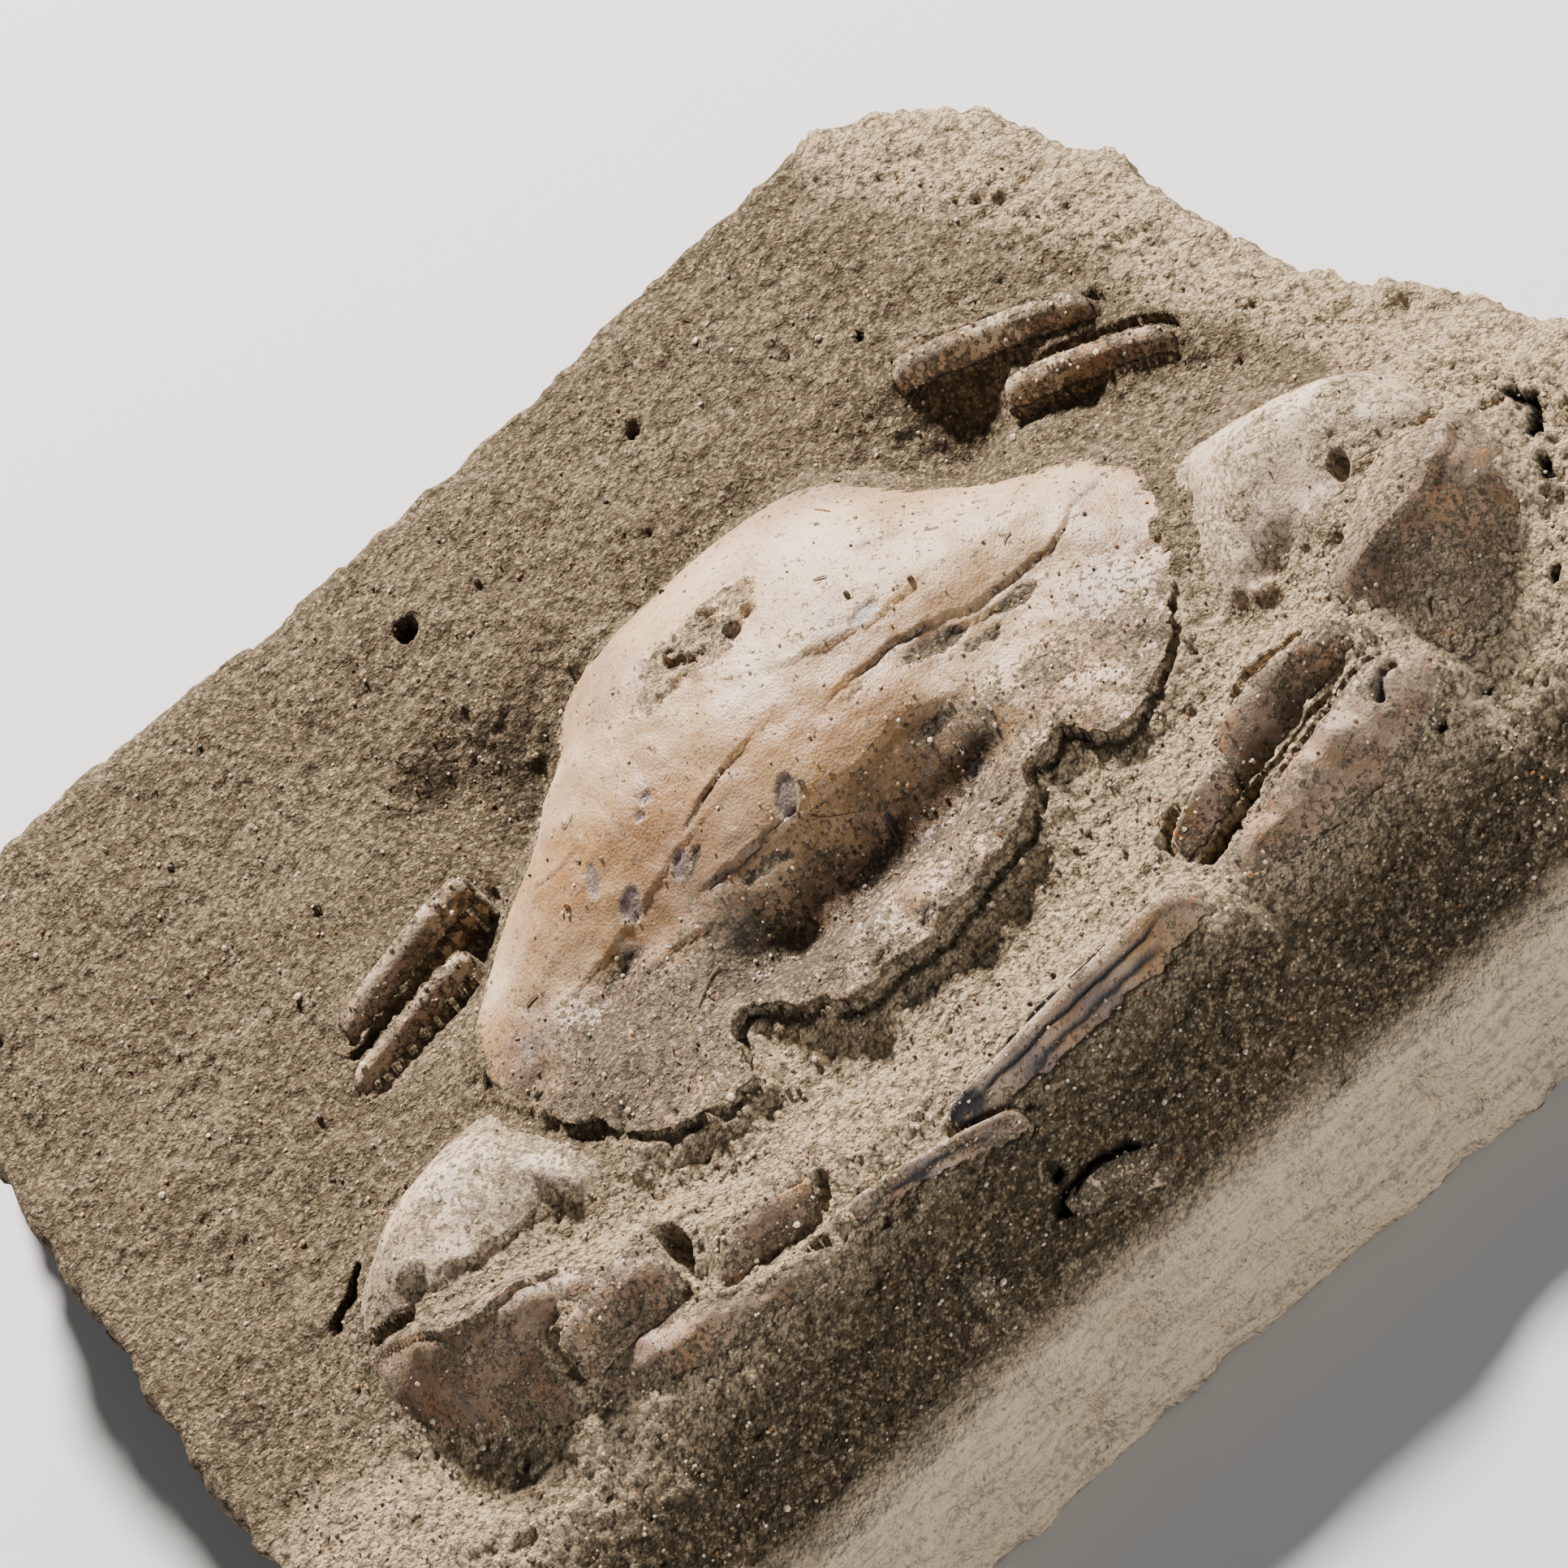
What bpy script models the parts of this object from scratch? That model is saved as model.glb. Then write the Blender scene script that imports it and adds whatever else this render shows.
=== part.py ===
"""Swimming crab fossil on a broken block of sandstone, lying flat with the crab on top.

Outlines and heights are in millimetres. The crab's own frame has its origin in the middle of the carapace,
x across the crab, y towards its tail and z = 0 on the flat top plane of the block. The model's origin is
the middle of the block's footprint, on its underside. Sides are the crab's own: its right side is at -x.
"""

import math
import random

import bpy
import numpy as np
from mathutils import Vector
from mathutils.geometry import delaunay_2d_cdt

MM = 0.001

# Driving dimensions
BLOCK_HEIGHT = 28.0        # underside to the flat top plane
SHELL_THICKNESS = 1.5      # carapace wall
GAP = 0.3                  # clearance between a fossil piece and the stone
WALL_RUN = 0.3             # width of the steep wall around a seat
FRONT_STEP = 3.6           # how far the carapace's front margin stands above the stone before it
SIDE_STEP = 0.5            # the same at its sides and rear
PIECE_STEP = 0.3           # the same around a claw or leg piece
SEAT_DEPTH = 1.4           # how deep the lowest rim of a claw or leg piece is sunk
FOOT_LEAN = 0.9            # how far the foot stands out past the top edge
FOOT_FLARE = 1.6           # how much further the broken side's foot does
RAGGED = 0.35              # roughness of the block's top edge
FOOT_RAGGED = 0.6          # roughness of its walls and foot
WALL_LEVELS = (0.25, 0.6, 1.0)   # rows of corners down the block's walls, as shares of its height
PLAIN_LUMPS = 0.12         # unevenness of the flat top
BROKEN_LUMPS = 0.8         # unevenness of the broken side's slope

FRONT_BLEND = (-12, -20)   # over this y the step at the carapace's side becomes the front one
FLARE_BLEND = (40, 52)     # over this x the foot takes on the broken side's flare
SLOPE_START = [(-30, 66), (0, 58), (26, 46), (60, 38)]   # y and x where the broken side's slope begins
SLOPE_BLEND = 8.0          # run over which the slope gets its full unevenness

# Mesh spacing
STONE_CELL = 4.9
STONE_EDGE = 4.6
SHELL_CELL = 3.3
SHELL_SEAT_CELL = 8.5
SHELL_RIM = 2.0
CLAW_CELL = 3.0
LIMB_CELL = 2.4
PIECE_RIM = 2.2
ROW_STEP = 0.87            # distance between rows of loose corners, as a share of their cell
CELL_SHAKE = 0.15          # how far a loose corner is moved, as a share of its cell
RIM_CLEAR = 0.45           # room between a rim and the loose corners, as a share of their cell
SEAT_RIM_CLEAR = 0.3       # the same for the shell's underside
SHARP_ANGLE = 40           # degrees

# The block's top edge, counterclockwise from the front left corner: x, y, z
BLOCK_EDGE = [
    (-83, -60, -12.5), (-72, -64, -14), (-56, -64.3, -14), (-40, -64, -13.5), (-20, -63.5, -12), (0, -63, -11),
    (20, -63.5, -12), (40, -64, -13.5), (58, -63.5, -14), (72, -63.5, -14), (80, -59, -12), (81, -48, -6),
    (80.5, -32, -3), (80.6, -18.6, -3.2), (77.4, -9.2, -3.5), (74.4, -3.2, -3.5), (68.5, 5, -3.5), (63, 13.5, -3),
    (60.6, 21.5, -3), (58.6, 30.2, -3), (56.4, 38.2, -3), (53.6, 46, -2.8), (48.8, 55, -2.4), (42.4, 62.6, -1.6),
    (36, 65.2, -0.6), (22, 65, -0.5), (0, 64, -0.5), (-30, 63.5, -0.5), (-55, 65, -0.5), (-78, 65.5, -0.7),
    (-83.5, 62, -0.9), (-84, 45, -0.8), (-84, 20, -0.8), (-84.5, -5, -0.8), (-84.5, -30, -0.9), (-84, -46, -3),
    (-84, -54, -8),
]

# Heights of the stone away from the fossil: flat behind and beside it, a bank in front of it, then the steep front
STONE_SPOTS = [
    (-76, 56, 0), (-55, 56, 0), (-30, 57, 0), (-5, 57, 0), (18, 57, 0), (34, 58, -0.2),
    (-76, 34, 0), (-58, 34, 0), (-41, 40, 0), (-27, 36, -1.3), (-25, 47, 0), (-14, 40, 0.3), (5, 42, 0.3),
    (22, 40, 0.2), (34, 42, 0.6), (42, 50, -0.2), (47, 36, -0.1), (50, 22, -0.2), (56, 5, -0.2), (63, -3, -0.6),
    (-76, 12, 0), (-62, 12, 0), (-60, -1, 0.3), (-76, -10, 0), (-71, -22, 0), (-72, -36, 0), (-77, -44, -1),
    (-44, 12.3, -1.1), (-38, 13.6, -1.1), (-27, 23, -0.4), (-30, 30, -0.3),
    (31, 24, -1.4), (38, 24.5, -1.0), (44, 12, -0.3), (47, 5, 0), (36, 14, -0.2),
    (72, -12, -0.6), (73, -28, -0.5), (74, -42, -1.5), (66, -44, -1.2),
    (-18.5, -24.5, 1.4), (20, -24, 1.5), (-15, -33, 1.5), (0, -34.5, 1.5), (15, -31.5, 1.6),
    (-30, -34, 2.2), (33, -27.5, 2.6), (-12, -39, 2.7), (5, -40, 2.8), (20, -36, 2.8),
    (-15, -43.5, 3.3), (0, -44, 3.6), (15, -43.5, 3.9),
    (-44, -28.5, 2.6), (-36, -31.5, 2.6), (45, -28, 2.8), (36, -35.8, 1.4), (43, -35.6, 1.6),
    (-60, -46, -2.2), (-40, -51, -3.2), (-20, -54, -2.4), (0, -54, -2.4), (20, -54, -2.6), (40, -52, -3.4),
    (60, -47, -2.4), (-70, -52, -4.5), (70, -51, -4.5), (-58, -56, -8), (-40, -58, -9), (-20, -59, -7),
    (0, -59, -6.8), (20, -59, -7.2), (40, -58, -9), (60, -56, -8.5),
]

# Holes in the stone: x, y, radius, depth
STONE_PITS = [(-22.5, 50.5, 1.5, 1.8), (-45, 30, 0.9, 0.8), (6, 51, 1.0, 0.9), (20.2, -61.4, 1.6, 1.8)]
PIT_CORNERS = 8            # around the mouth
PIT_FLOOR_CORNERS = 5
PIT_FLOOR = 0.5            # radius of the floor, as a share of the mouth's
PIT_CLEAR = 1.8            # room around a hole without loose corners, in mouth radii

# The carapace: margin with its orbits and blunt teeth, counterclockwise from the right tip
CARAPACE_EDGE = [
    (-41, -4, 3.4), (-40.3, -8, 3.8), (-39.6, -11, 4.0), (-38, -13.8, 4.2), (-37.2, -16.5, 4.3), (-35.2, -19, 4.4),
    (-33.4, -22.4, 4.6), (-30.4, -25.6, 4.7), (-27.6, -27.2, 4.8), (-25, -28.8, 4.9), (-21.4, -28.4, 5.0),
    (-20.6, -25.4, 5.0), (-19.8, -22.2, 5.0), (-17, -21, 5.1), (-14.6, -23.6, 5.1), (-13, -26.4, 5.2),
    (-10.4, -28.2, 5.2), (-8, -29.9, 5.3), (-4, -29.3, 5.3), (0, -30, 5.3), (4.6, -28.9, 5.3), (8.4, -27.6, 5.2),
    (12, -27.2, 5.2), (15, -25.4, 5.1), (16.6, -22.4, 5.0), (19.6, -20.2, 5.0), (22, -21.2, 5.0),
    (24, -24.8, 4.9), (27.6, -25.6, 4.9), (30.6, -23.4, 4.8), (33, -22, 4.7), (35.6, -18.4, 4.5),
    (37.6, -15.2, 4.3), (39.4, -11.6, 4.0), (40.4, -8, 3.8), (41.4, -3.5, 3.2), (40.6, 2.5, 2.8), (36.5, 8, 2.4),
    (30.5, 12, 2.2), (24.5, 17.6, 2.0), (20, 24, 1.8), (16.5, 28.4, 1.6), (9, 30.8, 1.5), (0, 31.2, 1.5),
    (-9, 30.4, 1.5), (-15, 27.8, 1.7), (-19.5, 21, 1.9), (-24.5, 15.8, 2.1), (-30, 11.6, 2.3), (-36, 6.4, 2.6),
    (-40, 1.2, 3.0),
]

# Heights over the right half of the carapace and its middle line, repeated on the left half
CARAPACE_MIDDLE = [
    (27, 4.8), (22.5, 7.8), (15.5, 10.8), (9, 12.3), (2, 12.7), (-5, 11.2), (-11, 8.9), (-16.5, 5.3), (-21, 5.0),
    (-26, 5.5),
]
CARAPACE_HALF = [
    (8, 25, 6.1), (11, 19, 9.0), (12, 12, 10.9), (12, 4, 11.5), (12, -4, 9.9), (12, -11, 7.6), (11, -17, 5.1),
    (12, -22, 5.5), (21, 14.5, 7.2), (22, 6, 9.0), (21, -1.2, 9.1), (21, -5, 7.6), (21, -11, 6.3), (20, -16, 5.7),
    (30, 6.5, 5.5), (30, 0, 6.7), (30, -4.5, 5.6), (29, -12, 5.6), (28, -20, 5.2), (37, -0.5, 4.6), (36, -8, 4.7),
]

# Each embedded piece: rim and crest points x, y, z in crab coordinates, with its colour
RIGHT_WRIST = dict(
    edge=[(-42.7, -7.2, 2.8), (-47.2, -6, 2.2), (-52.1, -6.6, 1.9), (-56.5, -8.3, 1.8), (-60.2, -10.9, 1.8),
          (-63.4, -13.8, 1.6), (-65.2, -17.4, 1.6), (-62, -20.3, 4.2), (-58, -23.6, 6.2), (-54, -26.6, 6.4),
          (-50.6, -26.2, 5.4), (-46.5, -23.4, 4.2), (-43.2, -22.8, 3.2), (-41.6, -25.2, 2.9), (-38.2, -25.4, 3.2),
          (-37.2, -21.8, 4.0), (-39.2, -17, 4.2), (-41.0, -13, 4.0), (-42.2, -10, 3.6)],
    crest=[(-49.5, -13.5, 7.4), (-55.5, -15.5, 7.4), (-44.5, -14, 6.2), (-40.6, -20.5, 5.3), (-50, -20, 7.0),
           (-57.6, -19.6, 7.4), (-61.4, -16.8, 4.6)],
    tint="shell")
RIGHT_PALM = dict(
    edge=[(-66.2, -19.2, 1.5), (-67, -23, 0.2), (-66, -28, -0.8), (-63.3, -33, -1.2), (-59.4, -37, -1.3),
          (-55.4, -40.6, -1.2), (-51.6, -42.8, -0.9), (-50.4, -40.6, 0.2), (-52, -37.4, 2.4), (-50.6, -35.2, 3.8),
          (-46.4, -34.8, 4.0), (-43, -33.8, 3.8), (-44.6, -31, 4.6), (-49.4, -28.6, 6.2), (-54, -28.2, 7.0),
          (-58.6, -25.2, 6.6), (-63, -21.4, 4.0)],
    crest=[(-54.8, -30, 7.8), (-59.8, -27, 7.0), (-50, -31, 6.9), (-60, -31.5, 4.0), (-55.4, -35, 3.6),
           (-63.6, -26, 3.4)],
    tint="hand")
RIGHT_UPPER_FINGER = dict(
    edge=[(-49.6, -37.2, 3.0), (-45.6, -36.4, 4.0), (-41.2, -35.0, 4.6), (-37.0, -34.2, 4.8), (-35.4, -36.4, 4.4),
          (-36.2, -38.9, 2.9), (-40.8, -40.4, 1.6), (-45.2, -40, 1.2), (-48.8, -39, 1.4)],
    crest=[(-44, -37.4, 5.0), (-38.4, -35.8, 5.6)],
    tint="hand")
RIGHT_FINGER_END = dict(
    edge=[(-32.4, -40.6, 3.4), (-29.6, -39.2, 3.9), (-25.6, -39.8, 4.0), (-21.6, -41.9, 3.6), (-22.6, -43.7, 2.6),
          (-26.2, -44.6, 1.8), (-30.6, -43.8, 1.6)],
    crest=[(-28.4, -40.8, 4.7), (-24.2, -41.8, 4.5)],
    tint="finger")
RIGHT_LOWER_FINGER = dict(
    edge=[(-49.4, -42.6, -0.3), (-46.4, -41.6, 0.9), (-41.4, -42, 1.2), (-36.6, -42.2, 1.5), (-32.4, -45.2, 1.6),
          (-27.4, -46, 1.7), (-24.4, -47.2, 1.0), (-28.4, -48.9, -0.8), (-36.8, -47.6, -1.4), (-44.4, -45.8, -1.5)],
    crest=[(-42, -43.2, 1.9), (-36, -44.4, 2.0), (-29, -47, 1.5)],
    tint="hand")
RIGHT_THIN_FINGER = dict(
    edge=[(-21.6, -46.4, 2.6), (-15.6, -47.2, 2.7), (-9.8, -48.6, 2.3), (-2.6, -50.4, 0.9), (-4.8, -51.6, 0.0),
          (-10.6, -50.6, 0.6), (-16.4, -49.8, 0.8), (-21.2, -48.9, 0.9)],
    crest=[(-17, -48, 3.3), (-10.6, -49.3, 2.7)],
    tint="finger")
LEFT_WRIST = dict(
    edge=[(43.4, -1.5, 2.4), (49.6, -1.8, 2.0), (55.2, -3.6, 1.8), (60.6, -6.4, 1.8), (64.8, -10.2, 2.0),
          (66.8, -15.6, 2.4), (67.2, -19.6, 3.2), (62.6, -21.4, 6.0), (57.6, -22.6, 6.4), (53.4, -25.6, 6.2),
          (50.2, -26.2, 5.0), (48, -22.6, 4.2), (45.6, -22.2, 3.4), (43.9, -25.4, 3.0), (40.8, -23, 3.2),
          (39.6, -19.2, 3.8), (40.8, -14.4, 4.0), (42.2, -9.6, 3.6), (42.9, -5, 2.8)],
    crest=[(49.6, -9.4, 7.0), (55, -11.4, 8.0), (60.4, -13.6, 7.9), (45.6, -12.2, 5.8), (43.2, -20.6, 4.8),
           (50.4, -18.4, 6.6), (64.2, -16.4, 5.6), (58, -17.8, 7.2)],
    tint="pale_shell")
LEFT_PALM = dict(
    edge=[(68.6, -21.4, 3.0), (69.6, -26.2, 2.0), (68.6, -31, 0.6), (65.8, -35, -0.4), (61.6, -38.8, -1.0),
          (57.4, -41.2, -1.2), (54.2, -40.2, -0.2), (52.2, -37.4, 2.4), (50.4, -34.6, 3.4), (48.2, -31.2, 4.4),
          (49.8, -28.4, 5.6), (54, -27.2, 6.6), (58, -24.4, 6.8), (63, -23, 6.4)],
    crest=[(53, -29.6, 7.2), (58.4, -29.2, 8.0), (63.8, -27.4, 7.6), (66.6, -26, 6.0), (56.8, -35, 4.4),
           (62.4, -33, 4.6)],
    tint="hand")
LEFT_UPPER_FINGER = dict(
    edge=[(32.2, -32.8, 4.0), (36, -31.0, 4.6), (41, -30.8, 4.9), (46, -32.2, 5.2), (48.6, -34.2, 5.0),
          (46.6, -35.4, 3.4), (41, -34.8, 2.4), (36, -35.0, 2.4), (32.8, -34.6, 3.0)],
    crest=[(36.4, -32.4, 5.4), (41.6, -32.2, 5.7), (46, -33.4, 5.8)],
    tint="finger")
LEFT_FINGER_STUB = dict(
    edge=[(21.8, -38, 3.6), (25.2, -36.6, 4.0), (29.2, -36.8, 4.0), (30.2, -38.4, 3.4), (28.8, -40.6, 2.4),
          (25, -41, 2.2), (22.4, -40, 2.8)],
    crest=[(25.4, -38, 4.7)],
    tint="finger")
LEFT_LOWER_FINGER = dict(
    edge=[(23.4, -43.6, 1.9), (30, -41.8, 2.0), (34.6, -39.8, 2.4), (40.4, -38.8, 2.6), (47.4, -37.4, 3.0),
          (50.8, -39.6, 2.0), (49.6, -42.4, 0.2), (44, -45.4, -0.6), (37.4, -46.4, -0.8), (31, -46.2, -0.6),
          (25.6, -45.6, 0.4)],
    crest=[(34.6, -41.6, 3.9), (39.6, -41, 4.1), (45.6, -39.4, 4.3), (38, -44, 1.6), (30, -43.8, 2.2)],
    tint="hand")
LEFT_LONG_FINGER = dict(
    edge=[(-10.2, -46.6, 2.9), (-4, -45.6, 3.2), (6, -45.2, 3.5), (15, -45.6, 3.7), (21, -46, 3.6),
          (21.2, -48.4, 2.0), (14.6, -48.6, 2.0), (6, -48.4, 2.0), (-2.6, -47.7, 2.2), (-7.6, -47.4, 2.5)],
    crest=[(-5, -46.6, 4.0), (6, -46.4, 4.4), (16, -46.8, 4.5)],
    tint="finger")
RIGHT_LEG_REAR = dict(
    edge=[(-50.4, 14.6, 0.8), (-48.4, 17.0, 1.2), (-41, 18.6, 1.5), (-34, 20.1, 1.7), (-31.2, 19.4, 1.7),
          (-31.2, 17.2, 1.5), (-34.6, 16.1, 1.3), (-41.6, 14.8, 1.1), (-48, 13.4, 0.8)],
    crest=[(-46.6, 15.3, 2.8), (-40, 16.8, 3.3), (-34, 18.2, 3.3)],
    tint="limb")
RIGHT_LEG_FRONT = dict(
    edge=[(-52.2, 9.0, 0.4), (-49.4, 10.4, 0.6), (-42.6, 11.2, 0.7), (-37.4, 12.4, 0.9), (-35.6, 11.2, 1.0),
          (-37.6, 9.6, 0.9), (-43, 8.6, 0.7), (-49.6, 7.4, 0.4)],
    crest=[(-48, 9, 1.9), (-40.4, 10.3, 2.3)],
    tint="limb")
LEFT_LEG_REAR = dict(
    edge=[(27.4, 31.4, 0.9), (29.4, 33.2, 1.1), (37.6, 30.7, 1.3), (44.4, 26.6, 1.3), (48, 23.4, 0.9),
          (46.6, 21.6, 0.8), (41.8, 24.2, 1.0), (35.6, 27.2, 1.1), (29.6, 29.6, 1.0)],
    crest=[(32, 31.2, 2.9), (38.6, 28.6, 3.2), (44, 25, 2.9)],
    tint="limb")
LEFT_LEG_FRONT = dict(
    edge=[(35, 20.8, 0.6), (37.4, 22.2, 0.8), (43.4, 20.7, 1.0), (49.6, 17, 0.9), (52, 14.2, 0.6),
          (49.6, 12.8, 0.5), (44.4, 15.6, 0.7), (38.4, 18.4, 0.7)],
    crest=[(39.6, 20.3, 2.1), (45, 18, 2.5), (49.6, 14.9, 2.0)],
    tint="limb")
FLANK_SHELL_PIECE = dict(
    edge=[(-6.2, -57, -4.8), (-1.2, -56.6, -4.4), (4, -58.4, -6.0), (3.4, -60.2, -7.6), (-1.6, -59.8, -7.2),
          (-6, -59, -6.6)],
    crest=[(-1.4, -58.2, -4.9)],
    tint="limb")
FLANK_LEG_STUB = dict(
    edge=[(-18.6, -56.6, -4.4), (-16.2, -56.4, -4.2), (-15.4, -59, -6.2), (-15.4, -61.6, -8.6), (-17, -62.2, -9.4),
          (-18.4, -59.8, -7.2)],
    crest=[(-17, -59.2, -5.2)],
    tint="limb")

PIECES = {
    "right_wrist": RIGHT_WRIST,
    "right_palm": RIGHT_PALM,
    "right_upper_finger": RIGHT_UPPER_FINGER,
    "right_finger_end": RIGHT_FINGER_END,
    "right_lower_finger": RIGHT_LOWER_FINGER,
    "right_thin_finger": RIGHT_THIN_FINGER,
    "left_wrist": LEFT_WRIST,
    "left_palm": LEFT_PALM,
    "left_upper_finger": LEFT_UPPER_FINGER,
    "left_finger_stub": LEFT_FINGER_STUB,
    "left_lower_finger": LEFT_LOWER_FINGER,
    "left_long_finger": LEFT_LONG_FINGER,
    "right_leg_rear": RIGHT_LEG_REAR,
    "right_leg_front": RIGHT_LEG_FRONT,
    "left_leg_rear": LEFT_LEG_REAR,
    "left_leg_front": LEFT_LEG_FRONT,
    "flank_shell_piece": FLANK_SHELL_PIECE,
    "flank_leg_stub": FLANK_LEG_STUB,
}
BIG_PIECES = ("right_wrist", "right_palm", "left_wrist", "left_palm")

# Base colour (linear) and roughness
TINTS = {
    "sandstone": ((0.26, 0.205, 0.135), 0.95),
    "shell": ((0.50, 0.36, 0.25), 0.6),
    "pale_shell": ((0.58, 0.47, 0.36), 0.65),
    "hand": ((0.36, 0.25, 0.18), 0.65),
    "finger": ((0.45, 0.31, 0.21), 0.6),
    "limb": ((0.46, 0.36, 0.26), 0.65),
}


def counterclockwise(points):
    """The points of an outline as an array, turned round if they run clockwise."""
    points = np.array(points, float)
    x, y = points[:, 0], points[:, 1]
    area = (x * np.roll(y, -1) - y * np.roll(x, -1)).sum()
    return points if area > 0 else points[::-1]


def smooth_ring(points, step):
    """Points of a closed smooth curve through the given points, no further apart than step."""
    points = counterclockwise(points)
    count = len(points)
    ring = []
    for i in range(count):
        before, start, end, after = (points[(i + k) % count] for k in (-1, 0, 1, 2))
        parts = max(1, math.ceil(np.linalg.norm((end - start)[:2]) / step))
        for k in range(parts):
            t = k / parts
            ring.append(0.5 * (2 * start + (end - before) * t
                               + (2 * before - 5 * start + 4 * end - after) * t ** 2
                               + (3 * start - before - 3 * end + after) * t ** 3))
    return np.array(ring)


def bent_plate(points):
    """The height function of a thin elastic plate that passes through the given points."""
    points = np.array(points, float)
    knots = points[:, :2]
    count = len(points)

    def stiffness(xy):
        squared = ((xy[:, None, :] - knots[None, :, :]) ** 2).sum(axis=2)
        return squared * np.log(squared + 1e-9)

    system = np.zeros((count + 3, count + 3))
    system[:count, :count] = stiffness(knots)
    system[:count, count] = 1
    system[:count, count + 1:] = knots
    system[count:, :count] = system[:count, count:].T
    weights = np.linalg.solve(system, np.append(points[:, 2], (0, 0, 0)))

    def height(xy):
        xy = np.atleast_2d(np.array(xy, float))
        return stiffness(xy) @ weights[:count] + weights[count] + xy @ weights[count + 1:]

    return height


def edge_distance(xy, ring):
    """Distance of each point from a closed ring, negative inside it."""
    xy = np.atleast_2d(xy)
    start = ring[:, :2]
    run = np.roll(start, -1, axis=0) - start
    offset = xy[:, None, :] - start[None, :, :]
    along = np.clip((offset * run).sum(axis=2) / (run ** 2).sum(axis=1), 0, 1)
    nearest = np.sqrt(((offset - along[:, :, None] * run) ** 2).sum(axis=2)).min(axis=1)
    rises = (start[:, 1] > xy[:, 1:]) != (start[:, 1] + run[:, 1] > xy[:, 1:])
    slope = np.where(run[:, 1] == 0, 1, run[:, 1])
    crossing = start[:, 0] + (xy[:, 1:] - start[:, 1]) * run[:, 0] / slope
    inside = (rises & (xy[:, :1] < crossing)).sum(axis=1) % 2 == 1
    return np.where(inside, -nearest, nearest)


def offset_ring(ring, distance):
    """A ring moved outwards in plan by a distance."""
    along = np.roll(ring, -1, axis=0) - np.roll(ring, 1, axis=0)
    outward = np.stack((along[:, 1], -along[:, 0]), axis=1)
    outward /= np.linalg.norm(outward, axis=1)[:, None]
    moved = ring.copy()
    moved[:, :2] += outward * distance
    return moved


def scattered(ring, cell, margin, seed):
    """Points over the inside of a ring in staggered rows, slightly shaken, clear of the ring by a margin."""
    shake = random.Random(seed)
    low = ring[:, :2].min(axis=0)
    high = ring[:, :2].max(axis=0)
    points = []
    row = 0
    y = low[1]
    while y < high[1]:
        x = low[0] + cell * 0.5 * (row % 2)
        while x < high[0]:
            points.append((x + shake.uniform(-CELL_SHAKE, CELL_SHAKE) * cell,
                           y + shake.uniform(-CELL_SHAKE, CELL_SHAKE) * cell))
            x += cell
        y += cell * ROW_STEP
        row += 1
    points = np.array(points)
    return points[edge_distance(points, ring) < -margin]


def triangulate(rings, loose):
    """Flat triangles that fill the first ring, follow the edges of the others and use every loose point."""
    corners = []
    edges = []
    for ring in rings:
        first = len(corners)
        corners += [Vector(p[:2]) for p in ring]
        if first:
            edges += [(first + i, first + (i + 1) % len(ring)) for i in range(len(ring))]
    corners += [Vector(p) for p in loose]
    result = delaunay_2d_cdt(corners, edges, [list(range(len(rings[0])))], 1, 1e-5)
    return np.array([tuple(v) for v in result[0]]), result[2]


def material(tint):
    """The material of a tint, made once."""
    found = bpy.data.materials.get(tint)
    if found:
        return found
    colour, roughness = TINTS[tint]
    made = bpy.data.materials.new(tint)
    made.use_nodes = True
    shader = made.node_tree.nodes["Principled BSDF"]
    shader.inputs["Base Color"].default_value = (*colour, 1)
    shader.inputs["Roughness"].default_value = roughness
    shader.inputs["Metallic"].default_value = 0
    return made


def add_piece(name, solid, origin, tint):
    """A named object from the corners and faces of a solid, measured from an origin in crab millimetres."""
    corners, faces = solid
    mesh = bpy.data.meshes.new(name)
    mesh.from_pydata(((np.array(corners) - origin) * MM).tolist(), [], faces)
    mesh.materials.append(material(tint))
    mesh.shade_smooth()
    mesh.set_sharp_from_angle(angle=math.radians(SHARP_ANGLE))
    piece = bpy.data.objects.new(name, mesh)
    bpy.context.scene.collection.objects.link(piece)


def slab_between(ring, top, bottom):
    """Corners and faces of a solid between a top and a bottom sheet that share the rim of a ring."""
    top_xy, top_faces, top_height = top
    bottom_xy, bottom_faces, bottom_height = bottom
    rim = len(ring)
    shift = len(top_xy)
    corners = [(x, y, z) for (x, y), z in zip(top_xy, top_height)]
    corners += [(x, y, z) for (x, y), z in zip(bottom_xy, bottom_height)]
    faces = [tuple(face) for face in top_faces]
    faces += [tuple(shift + i for i in reversed(face)) for face in bottom_faces]
    for i in range(rim):
        after = (i + 1) % rim
        faces.append((i, shift + i, shift + after))
        faces.append((i, shift + after, after))
    return corners, faces


def carapace_solid(ring, top_height, under_height, seat_points):
    """The domed back shell, of even thickness."""
    loose = scattered(ring, SHELL_CELL, SHELL_CELL * RIM_CLEAR, seed=11)
    top_xy, top_faces = triangulate([ring], loose)
    under_xy, under_faces = triangulate([ring], seat_points)
    top = (top_xy, top_faces, top_height(top_xy))
    under = (under_xy, under_faces, under_height(under_xy))
    return slab_between(ring, top, under)


def embedded_solid(name, shape, ring, floor, seed):
    """A claw or leg piece: a modelled top over a flat seat."""
    cell = CLAW_CELL if name in BIG_PIECES else LIMB_CELL
    top_height = bent_plate(np.vstack((shape["edge"], shape["crest"])))
    loose = scattered(ring, cell, cell * RIM_CLEAR, seed)
    top_xy, top_faces = triangulate([ring], loose)
    under_xy, under_faces = triangulate([ring], [])
    top = (top_xy, top_faces, top_height(top_xy))
    under = (under_xy, under_faces, np.full(len(under_xy), floor))
    return slab_between(ring, top, under)


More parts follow.
